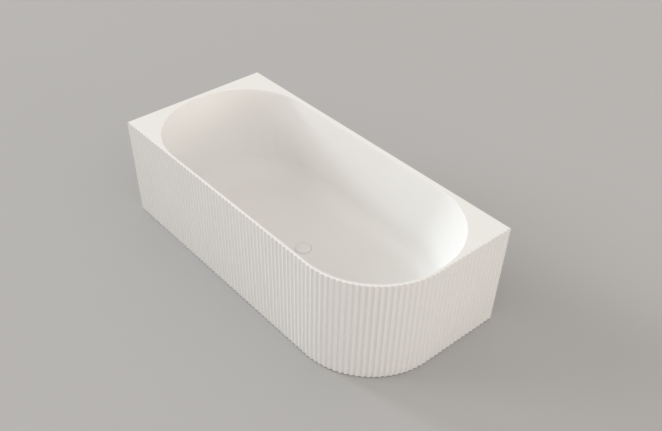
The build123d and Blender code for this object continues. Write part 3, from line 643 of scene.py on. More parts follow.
def finish_skirt(shape):
    """Closes the skirt's two ends, and adds its returns and the blocks behind the brackets."""
    ends = [edge for edge in shape.edges if edge.is_boundary]
    bmesh.ops.holes_fill(shape, edges=ends, sides=0)
    add_box(shape, (left, inner_front - overlap, skirt_bottom),
            (left + return_wall, inner_front + return_length, deck_underside), soft_edge)
    add_box(shape, (inner_right - return_length, back - return_wall, skirt_bottom),
            (inner_right + overlap, back, deck_underside), soft_edge)
    half, low = block_width / 2, rail_top - block_drop
    high = low + block_height
    for x in bracket_x:
        add_box(shape, (x - half, inner_front - overlap, low),
                (x + half, inner_front + block_wall, high), block_edge)
    add_box(shape, (inner_right - block_wall, end_bracket_y - half, low),
            (inner_right + overlap, end_bracket_y + half, high), block_edge)


skirt = grow("skirt", fluted_wall, {
    **wall_sizes, "Low": skirt_bottom, "High": deck_underside, "Low rounding": skirt_foot_rounding,
    "Low steps": 3, "High rounding": 0.0, "High steps": 0, "Wall": skirt_wall, "Closed": 1,
})
put(reshape(skirt, finish_skirt), "frame", "fluted_skirt")

# %% [markdown]
# ## The bath shell
# The deck and the basin are one sheet, so they are one mesh. Rings of points run round the
# basin from the rim to the waste. Each ring has its own half length, half width and corner
# radius, worked out from how deep it lies: the wall leans in evenly at first and then turns
# into the floor. A subdivided cage would be quicker to draw, but these rings follow the
# solid's own rule, so the basin keeps its exact size.

# %% Where the points of a ring lie
def ring_stations(arc=32, long_side=36, short_side=3):
    """Where each column of points lies: its side's share in X and Y, and its direction."""
    stations = []
    for corner, (x, y) in enumerate(((1, 1), (-1, 1), (-1, -1), (1, -1))):
        start = corner * pi / 2
        stations += [(x, y, start + pi / 2 * k / arc) for k in range(arc)]
        turn, count = start + pi / 2, (long_side, short_side)[corner % 2]
        for k in range(count):
            slide = 1 - 2 * k / count
            stations.append((x * slide, y, turn) if corner % 2 == 0 else (x, y * slide, turn))
    return stations


stations = ring_stations()


def ring(half_x, half_y, radius, level):
    """A level ring of points with rounded corners."""
    return [
        Vector((
            basin_x + x * (half_x - radius) + radius * cos(turn),
            basin_y + y * (half_y - radius) + radius * sin(turn),
            level,
        ))
        for x, y, turn in stations
    ]


print("points round the basin", len(stations))

# %% How far the basin's wall has come in
drop = deck_top - floor_edge


def lean_of(slope, bend):
    """The lean of a straight wall that runs into its bend and ends level at the floor."""
    rise = drop - bend
    return acos(bend / hypot(slope, rise)) - atan2(rise, slope)


def wall_inset(depth, slope, bend):
    """How far a wall has come in at a depth: straight at first, then round its bend."""
    above = max(drop - depth, 0.0)
    if above > bend * (1 - sin(lean_of(slope, bend))):
        return depth * tan(lean_of(slope, bend))
    return slope - sqrt(above * (2 * bend - above))


def basin_ring(depth, wall=0.0):
    """The basin's ring at a depth below the rim, grown by a wall."""
    side, end = wall_inset(depth, side_slope, side_bend), wall_inset(depth, end_slope, end_bend)
    half_x, half_y = rim_half_length - end + wall, rim_half_width - side + wall
    return ring(half_x, half_y, rim_corner - side + wall, deck_top - wall - depth)


print("side wall leans", round(tan(lean_of(side_slope, side_bend)), 3), "in 1")

# %% [markdown]
# The rim is a small rounding that runs into the leaning wall without a crease. The waste
# sits in a round recess, and its lip is rounded too, so both need rings closer together.

# %% Rounded rim and round rings
def quarter_turn(steps):
    """Angles from 0 to a right angle, evenly spaced."""
    return [pi / 2 * k / steps for k in range(steps + 1)]


def rim_rings(radius=0.0015, steps=5):
    """The rounded rim, a quarter turn from the deck into the leaning wall."""
    side_lean, end_lean = tan(lean_of(side_slope, side_bend)), tan(lean_of(end_slope, end_bend))
    rings = [[] for step in range(steps)]
    for station, point in zip(stations, basin_ring(0)):
        along, across = cos(station[2]), sin(station[2])
        lean = atan(side_lean + (end_lean - side_lean) * abs(along))
        start = radius / tan(pi / 4 + lean / 2)
        for step, made in enumerate(rings):
            turn = (pi / 2 - lean) * step / (steps - 1)
            inset, level = radius * sin(turn) - start, deck_top - radius * (1 - cos(turn))
            made.append(Vector((point.x - along * inset, point.y - across * inset, level)))
    return rings


def surround(level):
    """The rounded square that the floor falls to, round the waste's recess."""
    return ring(recess_radius + floor_fall, recess_radius + floor_fall, recess_radius, level)


def round_ring(radius, level):
    """A round ring about the waste, with its points in line with the floor's."""
    angles = [atan2(p.y - basin_y, p.x - basin_x) for p in surround(level)]
    return [Vector((basin_x + radius * cos(a), basin_y + radius * sin(a), level)) for a in angles]


# %% Basin from rim to waste hole, and back up its underside
first_depth, recess_lip, recess_fillet, underside_shoulder = 0.010, 0.0035, 0.001, 0.020


def basin_rings(wall_steps=36, floor_steps=10, lip_steps=5, fillet_steps=3):
    """All rings of the inside, from the rim to the waste hole."""
    rings = rim_rings()
    first = asin(first_depth / drop)
    turns = [first + (pi / 2 - first) * k / wall_steps for k in range(wall_steps + 1)]
    rings += [basin_ring(drop * sin(turn)) for turn in turns]
    edge, centre = rings[-1], surround(floor_level)
    for k in range(1, floor_steps + 1):
        rings.append([a.lerp(b, k / floor_steps) for a, b in zip(edge, centre)])
    for turn in quarter_turn(lip_steps):
        lip_radius = recess_radius + recess_lip * (1 - sin(turn))
        rings.append(round_ring(lip_radius, floor_level - recess_lip * (1 - cos(turn)) / 2))
    for turn in quarter_turn(fillet_steps):
        fillet_radius = recess_radius - recess_fillet * (1 - cos(turn))
        rings.append(round_ring(fillet_radius, recess_floor + recess_fillet * (1 - sin(turn))))
    rings.append(round_ring(hole_radius, recess_floor))
    return rings


def underside_rings(wall_steps=18):
    """The rings of the underside, from the waste hole up to the deck."""
    low = floor_level - shell_wall
    end, side = end_slope + underside_shoulder, side_slope + underside_shoulder
    rings = [round_ring(hole_radius, low)]
    rings.append(ring(rim_half_length - end, rim_half_width - side, rim_corner - side, low))
    rings += [basin_ring(drop * sin(turn), shell_wall) for turn in reversed(quarter_turn(wall_steps))]
    return rings


inside, underside = basin_rings(), underside_rings()
print("rings inside", len(inside), "and under", len(underside))

# %% [markdown]
# The deck's edge is the fluted wall again, low and with a rounded head, so its scallops
# meet the skirt's flutes exactly. The deck between that edge and the rim is a flat sheet
# with a hole in it. It is filled with long triangles, because a sheet that is quite flat
# needs no even grid. The underside is filled alike.

# %% The deck's edge
deck_rounding = 0.002


def deck_edge(steps=4):
    """The deck's fluted edge and its two flat sides, with the rows at its top and its foot."""
    edge = grow("bath_shell_skin", fluted_wall, {
        **wall_sizes, "Low": deck_underside, "High": deck_top, "Low rounding": 0.0, "Low steps": 0,
        "High rounding": deck_rounding, "High steps": steps, "Wall": shell_wall, "Closed": 0,
    })
    points = [vertex.co.copy() for vertex in edge.data.vertices]
    faces = [tuple(face.vertices) for face in edge.data.polygons]
    rows = steps + 2
    first, last = list(range(rows)), list(range(len(points) - rows, len(points)))
    high_corner, low_corner = len(points), len(points) + 1
    points += [Vector((left, back, deck_top)), Vector((left, back, deck_underside))]
    faces += [last + [high_corner, low_corner], [low_corner, high_corner] + first[::-1]]
    high_row = list(range(rows - 1, high_corner, rows)) + [high_corner]
    low_row = list(range(0, high_corner, rows)) + [low_corner]
    return edge, points, faces, high_row, low_row


# %% The shell's mesh
ACRYLIC, FIBRE = 0, 1


def build_shell():
    """The deck's edge, the deck, the basin and the underside, sewn into one mesh."""
    edge, points, faces, high_row, low_row = deck_edge()
    kinds = [ACRYLIC] * len(faces)
    count = len(stations)
    starts = [len(points) + count * number for number in range(len(inside + underside))]
    for made in inside + underside:
        points += made
    for number, (one, two) in enumerate(zip(starts, starts[1:])):
        for k in range(count):
            after = (k + 1) % count
            faces.append((one + k, one + after, two + after, two + k))
        kinds += [ACRYLIC if number < len(inside) - 1 else FIBRE] * count

    def fill_flat(outer, start, kind):
        """Fills the flat sheet between an outer loop and the ring that starts at a point."""
        loop = outer + [start + k for k in range(count)]
        loops = [[points[i] for i in outer], points[start:start + count]]
        made = tessellate_polygon(loops)
        faces.extend(tuple(loop[i] for i in triangle) for triangle in made)
        kinds.extend([kind] * len(made))

    fill_flat(high_row, starts[0], ACRYLIC)
    fill_flat(low_row, starts[-1], FIBRE)
    edge.data.clear_geometry()
    edge.data.from_pydata(points, [], faces)
    edge.data.materials.clear()
    for material in (bath_acrylic, glass_fibre):
        edge.data.materials.append(material)
    edge.data.polygons.foreach_set("material_index", kinds)
    return edge


bath_shell_skin = build_shell()
print("shell", len(bath_shell_skin.data.vertices), "points")

# %% The lips under the two plain edges, and the finished shell
lip_drop, lip_wall, lip_end_gap, lip_edge = 0.025, 0.005, 0.045, 0.001


def finish_shell(shape):
    """Adds the lips under the deck's two straight edges."""
    low, high, gap = deck_underside - lip_drop, deck_underside + overlap, lip_end_gap + skirt_wall
    add_box(shape, (left, back - lip_wall, low), (right - gap, back, high), lip_edge)
    add_box(shape, (left, front + gap, low), (left + lip_wall, back - lip_wall, high), lip_edge)


put(reshape(bath_shell_skin, finish_shell), "frame", "bath_shell")
print("loose edges", sum(edge.is_loose for edge in bath_shell_skin.data.edges))

# %% [markdown]
# ## Turned pieces
# Caps, flanges, nuts, pads and screws are all turned about an axis. A Screw modifier could
# spin a drawn section, but it knows only rounds. So one function makes them from rows of
# radius and level, and a row can also have a size across flats, which cuts the round to a
# hexagon. A chamfered nut then comes out with its true curved corners. Rows come from the
# corners of the section, and a corner with a third number is rounded.

# %% Rows of a section
def eased(*corners, steps=3):
    """Rows of radius and level from corners, each rounded over the reach it may state."""
    points = [Vector(corner[:2]) for corner in corners]
    rows = []
    for k, (point, corner) in enumerate(zip(points, corners)):
        if len(corner) == 2:
            rows.append(corner)
            continue
        before, after = points[k - 1], points[(k + 1) % len(points)]
        start = point + (before - point).normalized() * corner[2]
        end = point + (after - point).normalized() * corner[2]
        for share in (step / steps for step in range(steps + 1)):
            rows.append(tuple(start.lerp(point, share).lerp(point.lerp(end, share), share)))
    return rows


def corner_of(flats):
    """The corner radius of a hexagon with this size across its flats."""
    return flats / 2 / cos(pi / 6)


def hexagon(flats, low, high, ease):
    """Rows of a hexagon's outside, with its corners chamfered at both ends."""
    face, corner = (flats - ease) / 2, corner_of(flats)
    return [(face, low), (corner, low + ease, flats), (corner, high - ease, flats), (face, high)]


print("a nut of 17 mm has corners at", round(corner_of(0.017), 5))

# %% Points and faces turned about an axis
def turned_shape(rows, centre=(0, 0), columns=48):
    """Points and faces turned about an upright axis. A row is radius, level and across flats."""
    points, faces, starts = [], [], []
    for radius, level, *flats in rows:
        starts.append(len(points))
        if radius == 0:
            points.append((*centre, level))
            continue
        for k in range(columns):
            angle = 2 * pi * k / columns
            reach = radius
            if flats:
                reach = min(radius, flats[0] / 2 / cos(angle % (pi / 3) - pi / 6))
            points.append((centre[0] + reach * cos(angle), centre[1] + reach * sin(angle), level))
    pairs = list(zip(range(len(rows)), range(1, len(rows))))
    if rows[0][0] and rows[-1][0]:
        pairs.append((len(rows) - 1, 0))
    for one, two in pairs:
        a, b = starts[one], starts[two]
        for k in range(columns):
            after = (k + 1) % columns
            if rows[one][0] == 0:
                faces.append((a, b + after, b + k))
            elif rows[two][0] == 0:
                faces.append((a + k, a + after, b))
            else:
                faces.append((a + k, a + after, b + after, b + k))
    return points, faces


# %% A turned piece
def turned(name, material, *shapes):
    """One piece from one or more turned shapes."""
    points, faces = [], []
    for more_points, more_faces in shapes:
        start = len(points)
        points += more_points
        faces += [tuple(start + i for i in face) for face in more_faces]
    piece = new_piece(name, points, (), faces)
    piece.data.materials.append(material)
    return reshape(piece)


# %% [markdown]
# ## Threads
# A thread is a groove that climbs evenly as it goes round. The rod starts as a grid wrapped
# round its axis, and each point's radius follows from how far up and how far round it is.
# A screw modifier would do for one rod, but this tree also closes the ends, leaves a bore
# where one is asked for, and tapers the first turn as a die does.

# %% The tree for a threaded rod
def build_threaded_rod():
    """A grid wrapped into a threaded rod, solid or with a bore."""
    numbers = ("X", "Y", "Low", "High", "Radius", "Bore", "Pitch", "Thread depth")
    tree, source = start_tree("Threaded rod", numbers, ("Columns", "Rows"))
    do = partial(calc, tree)
    rows = do("ADD", do("ADD", source["Rows"], 2), do("GREATER_THAN", source["Bore"], 0))
    grid, column, row = numbered_grid(tree, do("ADD", source["Columns"], 1), rows)
    round_share = do("DIVIDE", column, source["Columns"])
    climb = do("DIVIDE", do("SUBTRACT", row, 1), do("SUBTRACT", source["Rows"], 1))
    height = do("SUBTRACT", source["High"], source["Low"])
    up = do("MULTIPLY_ADD", within(tree, climb, 0, 1), height, source["Low"])
    closing = do("GREATER_THAN", row, do("ADD", source["Rows"], 1.5))
    level = choose(tree, closing, up, source["Low"])

    turns = do("FRACT", do("ADD", do("DIVIDE", level, source["Pitch"]), round_share))
    groove = do("SUBTRACT", 1, do("ABSOLUTE", do("MULTIPLY_ADD", turns, 2, -1)))
    thread = do("SUBTRACT", source["Radius"], do("MULTIPLY", source["Thread depth"], groove))
    from_high = do("SUBTRACT", source["High"], level)
    from_end = do("MINIMUM", do("SUBTRACT", level, source["Low"]), from_high)
    root = do("SUBTRACT", source["Radius"], source["Thread depth"])
    tapered = do("MINIMUM", thread, do("ADD", root, from_end))
    below_end = do("LESS_THAN", row, do("ADD", source["Rows"], 0.5))
    on_rod = do("MULTIPLY", do("GREATER_THAN", row, 0.5), below_end)
    reach = choose(tree, on_rod, source["Bore"], tapered)

    angle = do("MULTIPLY", round_share, 2 * pi)
    x = do("MULTIPLY_ADD", reach, do("COSINE", angle), source["X"])
    y = do("MULTIPLY_ADD", reach, do("SINE", angle), source["Y"])
    end_bent_grid(tree, grid, x, y, level, source["Material"])
    return tree


threaded_rod = build_threaded_rod()
print("tree", threaded_rod.name, "with", len(threaded_rod.nodes), "nodes")

# %% A threaded piece
def threaded(name, place, low, high, radius, bore, pitch, depth, columns, material, each_turn=6):
    """A threaded rod or pipe at a place, with a few rows to each turn of its thread."""
    return grow(name, threaded_rod, {
        "X": place[0], "Y": place[1], "Low": low, "High": high, "Radius": radius, "Bore": bore,
        "Pitch": pitch, "Thread depth": depth, "Columns": columns, "Material": material,
        "Rows": round((high - low) / pitch * each_turn) + 1,
    })


# %% [markdown]
# ## Levelling feet
# Each foot is a moulded nylon pad and a zinc-plated stem. The pad spreads the load over
# the floor, so it is wide, low and rounded. The stem is turned by the hexagon above the
# pad, and its thread climbs 1.5 mm per turn. Each piece is made round its own pad, whose
# place is read from the solid's box.

# %% Sections of the pad and the stem's collar
running_fit, moving_gap = 0.00005, 0.0003
pad_radius, pad_rim, pad_top_radius, pad_height = 0.022, 0.004, 0.012, levels("foot_pad_back_left")[1]
stem_low, stem_top = levels("foot_stem_back_left")
pad_round, pad_rim_round, pad_mouth_round = 0.0012, 0.0010, 0.0006
spigot_radius, spigot_round, collar_flats, collar_ease = 0.004, 0.0004, 0.014, 0.0008
collar_low, collar_top = pad_height + moving_gap, levels("lock_nuts")[0] - moving_gap
socket_radius, socket_floor = spigot_radius + running_fit, stem_low - moving_gap
pad_rows = eased(
    (0, 0), (pad_radius, 0, pad_round), (pad_radius, pad_rim, pad_rim_round),
    (pad_top_radius, pad_height, pad_round), (socket_radius, pad_height, pad_mouth_round),
    (socket_radius, socket_floor), (0, socket_floor),
)
collar_rows = [
    *eased((0, stem_low), (spigot_radius, stem_low, spigot_round), (spigot_radius, collar_low)),
    *hexagon(collar_flats, collar_low, collar_top, collar_ease), (0, collar_top),
]
print("pad rows", len(pad_rows), "collar rows", len(collar_rows))

# %% Pads and stems
stem_radius, stem_pitch, stem_thread_depth, thread_overlap = 0.005, 0.0015, 0.0008, 0.0007
thread_low = collar_top - thread_overlap
feet = [name[len("foot_pad_"):] for name in nodes if name.startswith("foot_pad_")]
foot_places = {foot: middle("foot_pad_" + foot) for foot in feet}
for foot, place in foot_places.items():
    pad = turned("foot_pad_skin_" + foot, foot_plastic, turned_shape(pad_rows, place))
    put(pad, "pad_" + foot, "foot_pad_" + foot)
    stem = threaded(
        "foot_stem_skin_" + foot, place, thread_low, stem_top, stem_radius, bore=0.0, pitch=stem_pitch,
        depth=stem_thread_depth, columns=24, material=zinc_steel,
    )
    collar = turned("collar", zinc_steel, turned_shape(collar_rows, place, columns=24))
    put(joined(stem, collar), "stem_" + foot, "foot_stem_" + foot)
print("feet", len(feet))

# %% [markdown]
# ## Nuts and screws
# Nuts and screws are all alike, so each is drawn once and set out in its places. The tree
# turns every copy by its own small amount, since nobody leaves all the corners of a row of
# nuts in line. Copies are made real at the end, so each set is one plain mesh.

# %% The tree that sets out copies
def build_set_out():
    """One piece copied to every place, facing as the place says, with a turn of its own."""
    others = {"Places": SHAPE, "Piece": "NodeSocketObject"}
    tree, source = start_tree("Set out copies", ["Largest turn"], ["Seed"], others)
    facing = add(tree, "GeometryNodeInputNamedAttribute", {"data_type": "FLOAT_VECTOR"}, Name="facing")
    faced = add(tree, "FunctionNodeEulerToRotation", Euler=facing.outputs[0])
    piece = add(tree, "GeometryNodeObjectInfo", Object=source["Piece"])
    copies = add(tree, "GeometryNodeInstanceOnPoints", Points=source["Places"],
                 Instance=piece.outputs["Geometry"], Rotation=faced.outputs[0])
    spin = add(tree, "FunctionNodeRandomValue", {"data_type": "FLOAT"}, Seed=source["Seed"])
    feed(tree, spin.inputs[3], source["Largest turn"])
    spun = add(tree, "ShaderNodeCombineXYZ", Z=spin.outputs[1])
    turn = add(tree, "FunctionNodeEulerToRotation", Euler=spun.outputs[0])
    placed = add(tree, "GeometryNodeRotateInstances", Instances=copies.outputs[0],
                 Rotation=turn.outputs[0])
    end_tree(tree, placed.outputs[0], source["Material"])
    return tree


set_out = build_set_out()
print("tree", set_out.name, "with", len(set_out.nodes), "nodes")

# %% Copies, and the sections of nuts and screws
upright, face_down, face_front, face_end = (0, 0, 0), (pi, 0, 0), (-pi / 2, 0, 0), (0, -pi / 2, 0)


def copies_of(name, rows, places, facing, seed, largest_turn=1.0, columns=24):
    """Zinc-plated copies of one turned piece in all its places, as one mesh."""
    piece = turned("pattern", zinc_steel, turned_shape(rows, (0, 0), columns))
    made = grow(name, set_out, {
        "Piece": piece, "Seed": seed, "Largest turn": largest_turn, "Material": zinc_steel,
    }, places, (), facing)
    bpy.data.objects.remove(piece)
    return made


def nut_rows(low, high, flats, bore, ease=0.0009):
    """Rows of a hexagon nut with its corners chamfered and its bore eased at both ends."""
    soft = ease / 2
    inner = [(bore + soft, high), (bore, high - soft), (bore, low + soft)]
    return [(bore + soft, low), *hexagon(flats, low, high, ease), *inner]


def screw_rows(radius, length, head_radius, head_height, socket_share=0.9, socket_floor_share=0.35):
    """Rows of a screw with a pan head and a hexagon socket, its seat at level 0."""
    socket, socket_level = head_radius * socket_share, head_height * socket_floor_share
    socket_corner = corner_of(socket)
    body = eased(
        (0, -length), (radius, -length, radius / 3), (radius, 0), (head_radius, 0, head_height / 10),
        (head_radius, head_height, head_height / 2), (socket_corner, head_height),
    )
    wall = [(socket_corner, level, socket) for level in (head_height, socket_level)]
    return [*body[:-1], *wall, (0, socket_level)]


# %% Nuts on the stems
weld_nut_flats, lock_nut_flats, nut_bore = 0.017, 0.016, stem_radius + running_fit
for node, flats, seed, largest_turn in (
    ("weld_nuts", weld_nut_flats, 2, 0.15),
    ("lock_nuts", lock_nut_flats, 3, 1.0),
):
    low, high = levels(node)
    rows = nut_rows(0, high - low, flats, nut_bore)
    places = [(*place, low) for place in foot_places.values()]
    nuts = copies_of(node + "_skin", rows, places, [upright] * len(places), seed, largest_turn)
    put(nuts, "frame", node)

# %% Bracket screws and board screws
bracket_wall, bracket_hole_height, rail_inset = 0.0025, 0.026, 0.040
screw_radius, rail_screw_length, skirt_screw_length = 0.0024, 0.012, 0.0075
head_radius, head_height = 0.0045, 0.0025
board_screw_radius, board_screw_length, board_screw_reach = 0.00275, 0.036, 0.120
board_head_radius, board_head_height = 0.0055, 0.003
rail_level, skirt_level = rail_top + bracket_wall, rail_top + bracket_hole_height
block_face = skirt_wall + block_wall + bracket_wall
rail_places = [(x, front + rail_inset, rail_level) for x in bracket_x]
rail_places.append((right - rail_inset, end_bracket_y, rail_level))
skirt_places = [(x, front + block_face, skirt_level) for x in bracket_x]
skirt_places.append((right - block_face, end_bracket_y, skirt_level))
rail_screws = copies_of(
    "skirt_bracket_screws_skin", screw_rows(screw_radius, rail_screw_length, head_radius, head_height),
    rail_places, [upright] * len(rail_places), seed=4,
)
skirt_screws = copies_of(
    "skirt_screws", screw_rows(screw_radius, skirt_screw_length, head_radius, head_height),
    skirt_places, [face_front] * bracket_count + [face_end], seed=5,
)
put(joined(rail_screws, skirt_screws), "frame", "skirt_bracket_screws")
cross_rails = ("cross_rail_left", "cross_rail_middle", "cross_rail_right")
board_places = [
    (middle(rail)[0], basin_y + side, rail_low)
    for rail in cross_rails for side in (-board_screw_reach, board_screw_reach)
]
board_screws = copies_of(
    "board_screws_skin",
    screw_rows(board_screw_radius, board_screw_length, board_head_radius, board_head_height),
    board_places, [face_down] * len(board_places), seed=6,
)
put(board_screws, "frame", "board_screws")

# %% [markdown]
# ## Weld beads
# The frame is welded before it is powder coated, so its joints carry beads under the same
# grey coat. A bead is a small round section carried along the joint's line, a little
# thicker and thinner from step to step as the welder moves on. Bump on the tubes could
# hint at it, but it would leave the joint's outline sharp.

# %% The tree for weld beads
def build_weld_beads():
    """Beads along joint lines, with a thickness that varies from step to step."""
    numbers = ("Bead radius", "Step", "Thinnest", "Thickest")
    tree, source = start_tree("Weld beads", numbers, ["Seed"], {"Lines": SHAPE})
    lines = add(tree, "GeometryNodeMeshToCurve", Mesh=source["Lines"])
    stepped = add(tree, "GeometryNodeResampleCurve", {"mode": "LENGTH"}, Curve=lines.outputs[0],
                  Length=source["Step"])
    swell = add(tree, "FunctionNodeRandomValue", {"data_type": "FLOAT"}, Seed=source["Seed"])
    feed(tree, swell.inputs[2], source["Thinnest"])
    feed(tree, swell.inputs[3], source["Thickest"])
    section = add(tree, "GeometryNodeCurvePrimitiveCircle", Resolution=8, Radius=source["Bead radius"])
    bead = add(tree, "GeometryNodeCurveToMesh", Curve=stepped.outputs[0],
               Profile_Curve=section.outputs[0], Scale=swell.outputs[1], Fill_Caps=True)
    end_tree(tree, bead.outputs[0], source["Material"])
    return tree


weld_bead = build_weld_beads()
print("tree", weld_bead.name, "with", len(weld_bead.nodes), "nodes")

# %% Lines of the frame's joints
bead_radius, bead_sink, bead_from_corner, bead_from_top = 0.0018, 0.0004, 0.003, 0.0012
rail_half, joint_y = (rail_top - rail_low) / 2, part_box("cross_rail_left")[1][1]
line_points, line_edges = [], []


def add_line(points, closed=False):
    """Adds one joint's line, joined up at its end where it is closed."""
    start, count = len(line_points), len(points)
    line_points.extend(points)
    line_edges.extend((start + k, start + k + 1) for k in range(count - 1))
    if closed:
        line_edges.append((start + count - 1, start))


for rail in ("left_end_rail", *cross_rails):
    x, high = middle(rail)[0], rail_top - bead_from_top
    for y in (bead_sink - joint_y, joint_y - bead_sink):
        add_line([(x + side * rail_half, y, level) for side, level in (
            (-1, rail_low + bead_from_corner), (-1, high), (1, high), (1, rail_low + bead_from_corner),
        )])
for post in ("upright_front_left", "upright_back_left", "upright_back_right"):
    x, y = middle(post)
    add_line([(x + a * rail_half, y + b * rail_half, rail_top + bead_sink)
              for a, b in ((-1, -1), (1, -1), (1, 1), (-1, 1))], closed=True)
print("joint lines", len(line_edges), "edges")

# %% Beads at the frame's joints
weld_beads = grow("weld_beads", weld_bead, {
    "Bead radius": bead_radius, "Step": bead_radius, "Thinnest": 0.8, "Thickest": 1.2, "Seed": 7,
    "Material": frame_steel,
}, line_points, line_edges)
put(weld_beads, "frame")

# %% [markdown]
# ## The waste
# The waste has a flange that sits in the recess, a threaded tail, and a domed cap that
# hides it. The cap has the bath's colour. Only the cap, the rim of the flange and the soft
# groove round them are seen from above, so these get eased edges. Under the floor a clamp
# nut draws the flange down, and a union nut holds the tailpiece that goes into the pipe.

# %% Sections of the waste body
waste_axis = (basin_x, basin_y)
tail_low, flange_top = levels("waste_body")
flange_radius, flange_low, bore_radius = 0.0405, levels("waste_upper_seal")[1], 0.020
tail_radius, tail_pitch, tail_thread_depth, tail_overlap = 0.0239, 0.002, 0.0009, 0.0003
hub_bore, hub_radius, hub_drop, hub_height = 0.00705, 0.010, 0.022, 0.010
hub_low, hub_top = flange_low - hub_drop, flange_low - hub_drop + hub_height
flange_foot_round, flange_round, hub_round = 0.0003, 0.0012, 0.0006
spoke_count, spoke_half, spoke_inner, spoke_outer = 3, 0.0015, 0.0092, 0.0212
flange_rows = eased(
    (bore_radius, flange_low), (flange_radius, flange_low, flange_foot_round),
    (flange_radius, flange_top, flange_round), (bore_radius, flange_top, flange_round),
)
hub_rows = eased(
    (hub_bore, hub_low), (hub_radius, hub_low, hub_round), (hub_radius, hub_top, hub_round),
    (hub_bore, hub_top),
)


def spoke(angle):
    """A flat spoke between the hub and the tail."""
    points = []
    for level in (hub_low, hub_top):
        for reach, side in (
            (spoke_inner, -spoke_half), (spoke_outer, -spoke_half),
            (spoke_outer, spoke_half), (spoke_inner, spoke_half),
        ):
            points.append((basin_x + reach * cos(angle) - side * sin(angle),
                           basin_y + reach * sin(angle) + side * cos(angle), level))
    sides = [(k, (k + 1) % 4, (k + 1) % 4 + 4, k + 4) for k in range(4)]
    return points, [(0, 3, 2, 1), (4, 5, 6, 7), *sides]


print("flange rows", len(flange_rows), "hub rows", len(hub_rows))

# %% Waste body
waste_tail = threaded(
    "waste_body_skin", waste_axis, tail_low, flange_low + tail_overlap, tail_radius, bore_radius,
    tail_pitch, tail_thread_depth, columns=72, material=waste_white,
)
waste_middle = turned(
    "waste_middle", waste_white, turned_shape(flange_rows, waste_axis, columns=96),
    turned_shape(hub_rows, waste_axis, columns=32),
    *(spoke(2 * pi * k / spoke_count) for k in range(spoke_count)),
)
put(joined(waste_tail, waste_middle), "frame", "waste_body")

# %% Sections of the clamp nut, the union nut and the tailpiece
clamp_flats, clamp_bore = 0.068, 0.024
union_low, union_top = levels("union_nut")
union_flats, union_bore, union_mouth, union_ease, union_soft = 0.058, 0.0201, 0.024, 0.0016, 0.0006
pipe_low, pipe_top = levels("outlet_tailpiece")
pipe_radius, pipe_bore, lead_in_radius, lead_in = 0.020, 0.018, 0.0192, 0.0026
neck_radius, neck_low, pipe_collar_radius, pipe_collar_height = 0.0195, 0.040, 0.0237, 0.0025
pipe_collar_low, pipe_mouth_round = pipe_top - pipe_collar_height, 0.0006
lead_in_soft, neck_soft, pipe_collar_soft = 0.0003, 0.0004, 0.0002
union_rows = [
    (union_bore, union_low), *hexagon(union_flats, union_low, union_top, union_ease),
    (union_mouth + union_soft, union_top), (union_mouth, union_top - union_soft),
    (union_mouth, pipe_collar_low), (union_bore, pipe_collar_low),
]
tailpiece_rows = eased(
    (pipe_bore, pipe_low), (lead_in_radius, pipe_low, lead_in_soft), (pipe_radius, pipe_low + lead_in),
    (pipe_radius, neck_low, neck_soft), (neck_radius, neck_low), (neck_radius, pipe_collar_low),
    (pipe_collar_radius, pipe_collar_low, pipe_collar_soft),
    (pipe_collar_radius, pipe_top, pipe_collar_soft), (pipe_bore, pipe_top, pipe_mouth_round),
)
print("union rows", len(union_rows), "tailpiece rows", len(tailpiece_rows))

# %% Clamp nut, union nut and tailpiece
for node, material, rows in (
    ("waste_clamp_nut", nut_plastic, nut_rows(*levels("waste_clamp_nut"), clamp_flats, clamp_bore)),
    ("union_nut", nut_plastic, union_rows),
    ("outlet_tailpiece", pipe_plastic, tailpiece_rows),
):
    put(turned(node + "_skin", material, turned_shape(rows, waste_axis)), "frame", node)

# %% Waste cap
cap_radius, cap_rise, cap_edge, cap_wall = 0.037, 0.0022, 0.0024, 0.002
cap_round, cap_soft = 0.0016, 0.0004
cap_bottom, cap_ceiling = levels("cap_seal")
boss_low, spindle_top = levels("waste_cap")[0], levels("cap_spindle")[1]
boss_radius, spindle_bore = 0.006, 0.0031
dome_radius = (cap_radius**2 + cap_rise**2) / (2 * cap_rise)
dome_shares = (0.85, 0.7, 0.55, 0.4, 0.2, 0)


def dome(radius):
    """The cap's level at a radius."""
    return cap_bottom + cap_edge + cap_rise - dome_radius + sqrt(dome_radius**2 - radius**2)


cap_rows = [
    (0, spindle_top), (spindle_bore, spindle_top), (spindle_bore, boss_low),
    (boss_radius, boss_low), (boss_radius, cap_ceiling), (cap_radius - cap_wall, cap_ceiling),
    (cap_radius - cap_wall, cap_bottom), (cap_radius - cap_soft, cap_bottom),
    (cap_radius, cap_bottom + cap_soft),
]
for turn in quarter_turn(steps=4):
    radius, top = cap_radius - cap_round * (1 - cos(turn)), dome(cap_radius - cap_round)
    cap_rows.append((radius, top - cap_round * (1 - sin(turn))))
cap_rows += [(share * cap_radius, dome(share * cap_radius)) for share in dome_shares]
waste_cap = turned("waste_cap_skin", waste_white, turned_shape(cap_rows, waste_axis, columns=96))
put(waste_cap, "cap", "waste_cap")

# %% [markdown]
# ## Studio
# A plain pale floor, a low cool sun and a higher one from the left, both soft, a weak warm
# one low down for the free end, and a pale world that is a little brighter on the right.
# The camera stands where the photograph's perspective puts it, found by fitting the bath's
# outline.

# %% Floor and lamps
def pale_floor(size=14.0, tone=0.44, rough=0.8):
    """A wide level floor, which is stage and not part of the bath."""
    corners = [(-size, -size, 0), (size, -size, 0), (size, size, 0), (-size, size, 0)]
    floor = new_piece("studio_floor", corners, (), [(0, 1, 2, 3)])
    material = bpy.data.materials.new("studio_floor")
    material.use_nodes = True
    shader = material.node_tree.nodes["Principled BSDF"]
    shader.inputs["Base Color"].default_value = (tone, tone, tone, 1)
    shader.inputs["Roughness"].default_value = rough
    floor.data.materials.append(material)


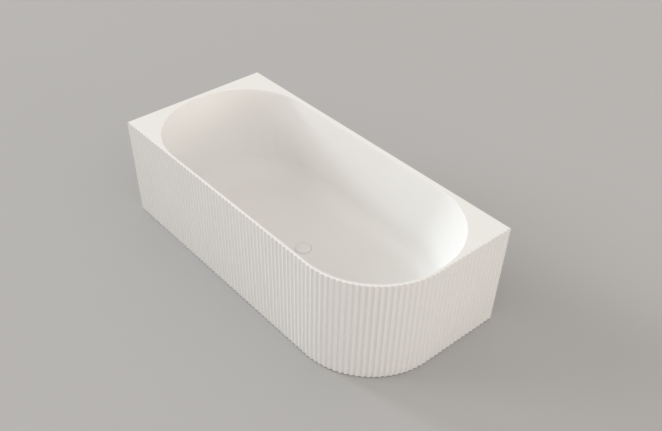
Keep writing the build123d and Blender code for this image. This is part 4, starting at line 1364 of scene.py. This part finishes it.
def soft_sun(name, place, power, colour, width):
    """A sun that shines from a place towards the origin, as soft as its width in degrees."""
    data = bpy.data.lights.new(name, "SUN")
    data.energy, data.color, data.angle = power, colour, radians(width)
    lamp = bpy.data.objects.new(name, data)
    lamp.location = place
    lamp.rotation_euler = (-Vector(place)).to_track_quat("-Z", "Y").to_euler()
    scene.collection.objects.link(lamp)


pale_floor()
soft_sun("low_key", place=(-4.27, -1.22, 1.19), power=1.29, colour=(0.80, 0.92, 1.0), width=12)
soft_sun("high_key", place=(-3.10, -2.90, 1.90), power=0.68, colour=(0.96, 0.97, 1.0), width=22)
soft_sun("end_glow", place=(4.40, 0.90, 0.34), power=0.36, colour=(1.0, 0.94, 0.87), width=8)
print("lamps", len(bpy.data.lights))

# %% World
def build_world(all_round=0.785, from_right=0.34, backdrop=0.9, colour=(1.0, 0.945, 0.885, 1)):
    """A pale world, brighter on the right, and even where the camera or a mirror sees it."""
    world = bpy.data.worlds.new("studio")
    world.use_nodes = True
    tree = world.node_tree
    place = add(tree, "ShaderNodeTexCoord").outputs["Generated"]
    way = add(tree, "ShaderNodeSeparateXYZ", Vector=place)
    glow = calc(tree, "MULTIPLY_ADD", calc(tree, "MAXIMUM", way.outputs["X"], 0), from_right, all_round)
    path = add(tree, "ShaderNodeLightPath").outputs
    mirrored = calc(tree, "MAXIMUM", path["Is Glossy Ray"], path["Is Transmission Ray"])
    seen = calc(tree, "MAXIMUM", path["Is Camera Ray"], mirrored)
    background = tree.nodes["Background"]
    background.inputs["Color"].default_value = colour
    feed(tree, background.inputs["Strength"], choose(tree, seen, glow, backdrop))
    scene.world = world


build_world()
scene.view_settings.view_transform = "Standard"
print("world", scene.world.name, "with", len(scene.world.node_tree.nodes), "nodes")

# %% Camera
camera_turn, camera_tilt = radians(50.388), radians(43.588)
camera_data = bpy.data.cameras.new("camera")
camera_data.lens, camera_data.shift_x, camera_data.shift_y = 42.43, 0.0386, 0.1204
camera = bpy.data.objects.new("camera", camera_data)
camera.location = (2.2226, -1.8242, 2.4990)
camera.rotation_euler = (pi / 2 - camera_tilt, 0, camera_turn)
scene.collection.objects.link(camera)
scene.camera = camera
print("camera at", tuple(round(v, 3) for v in camera.location))
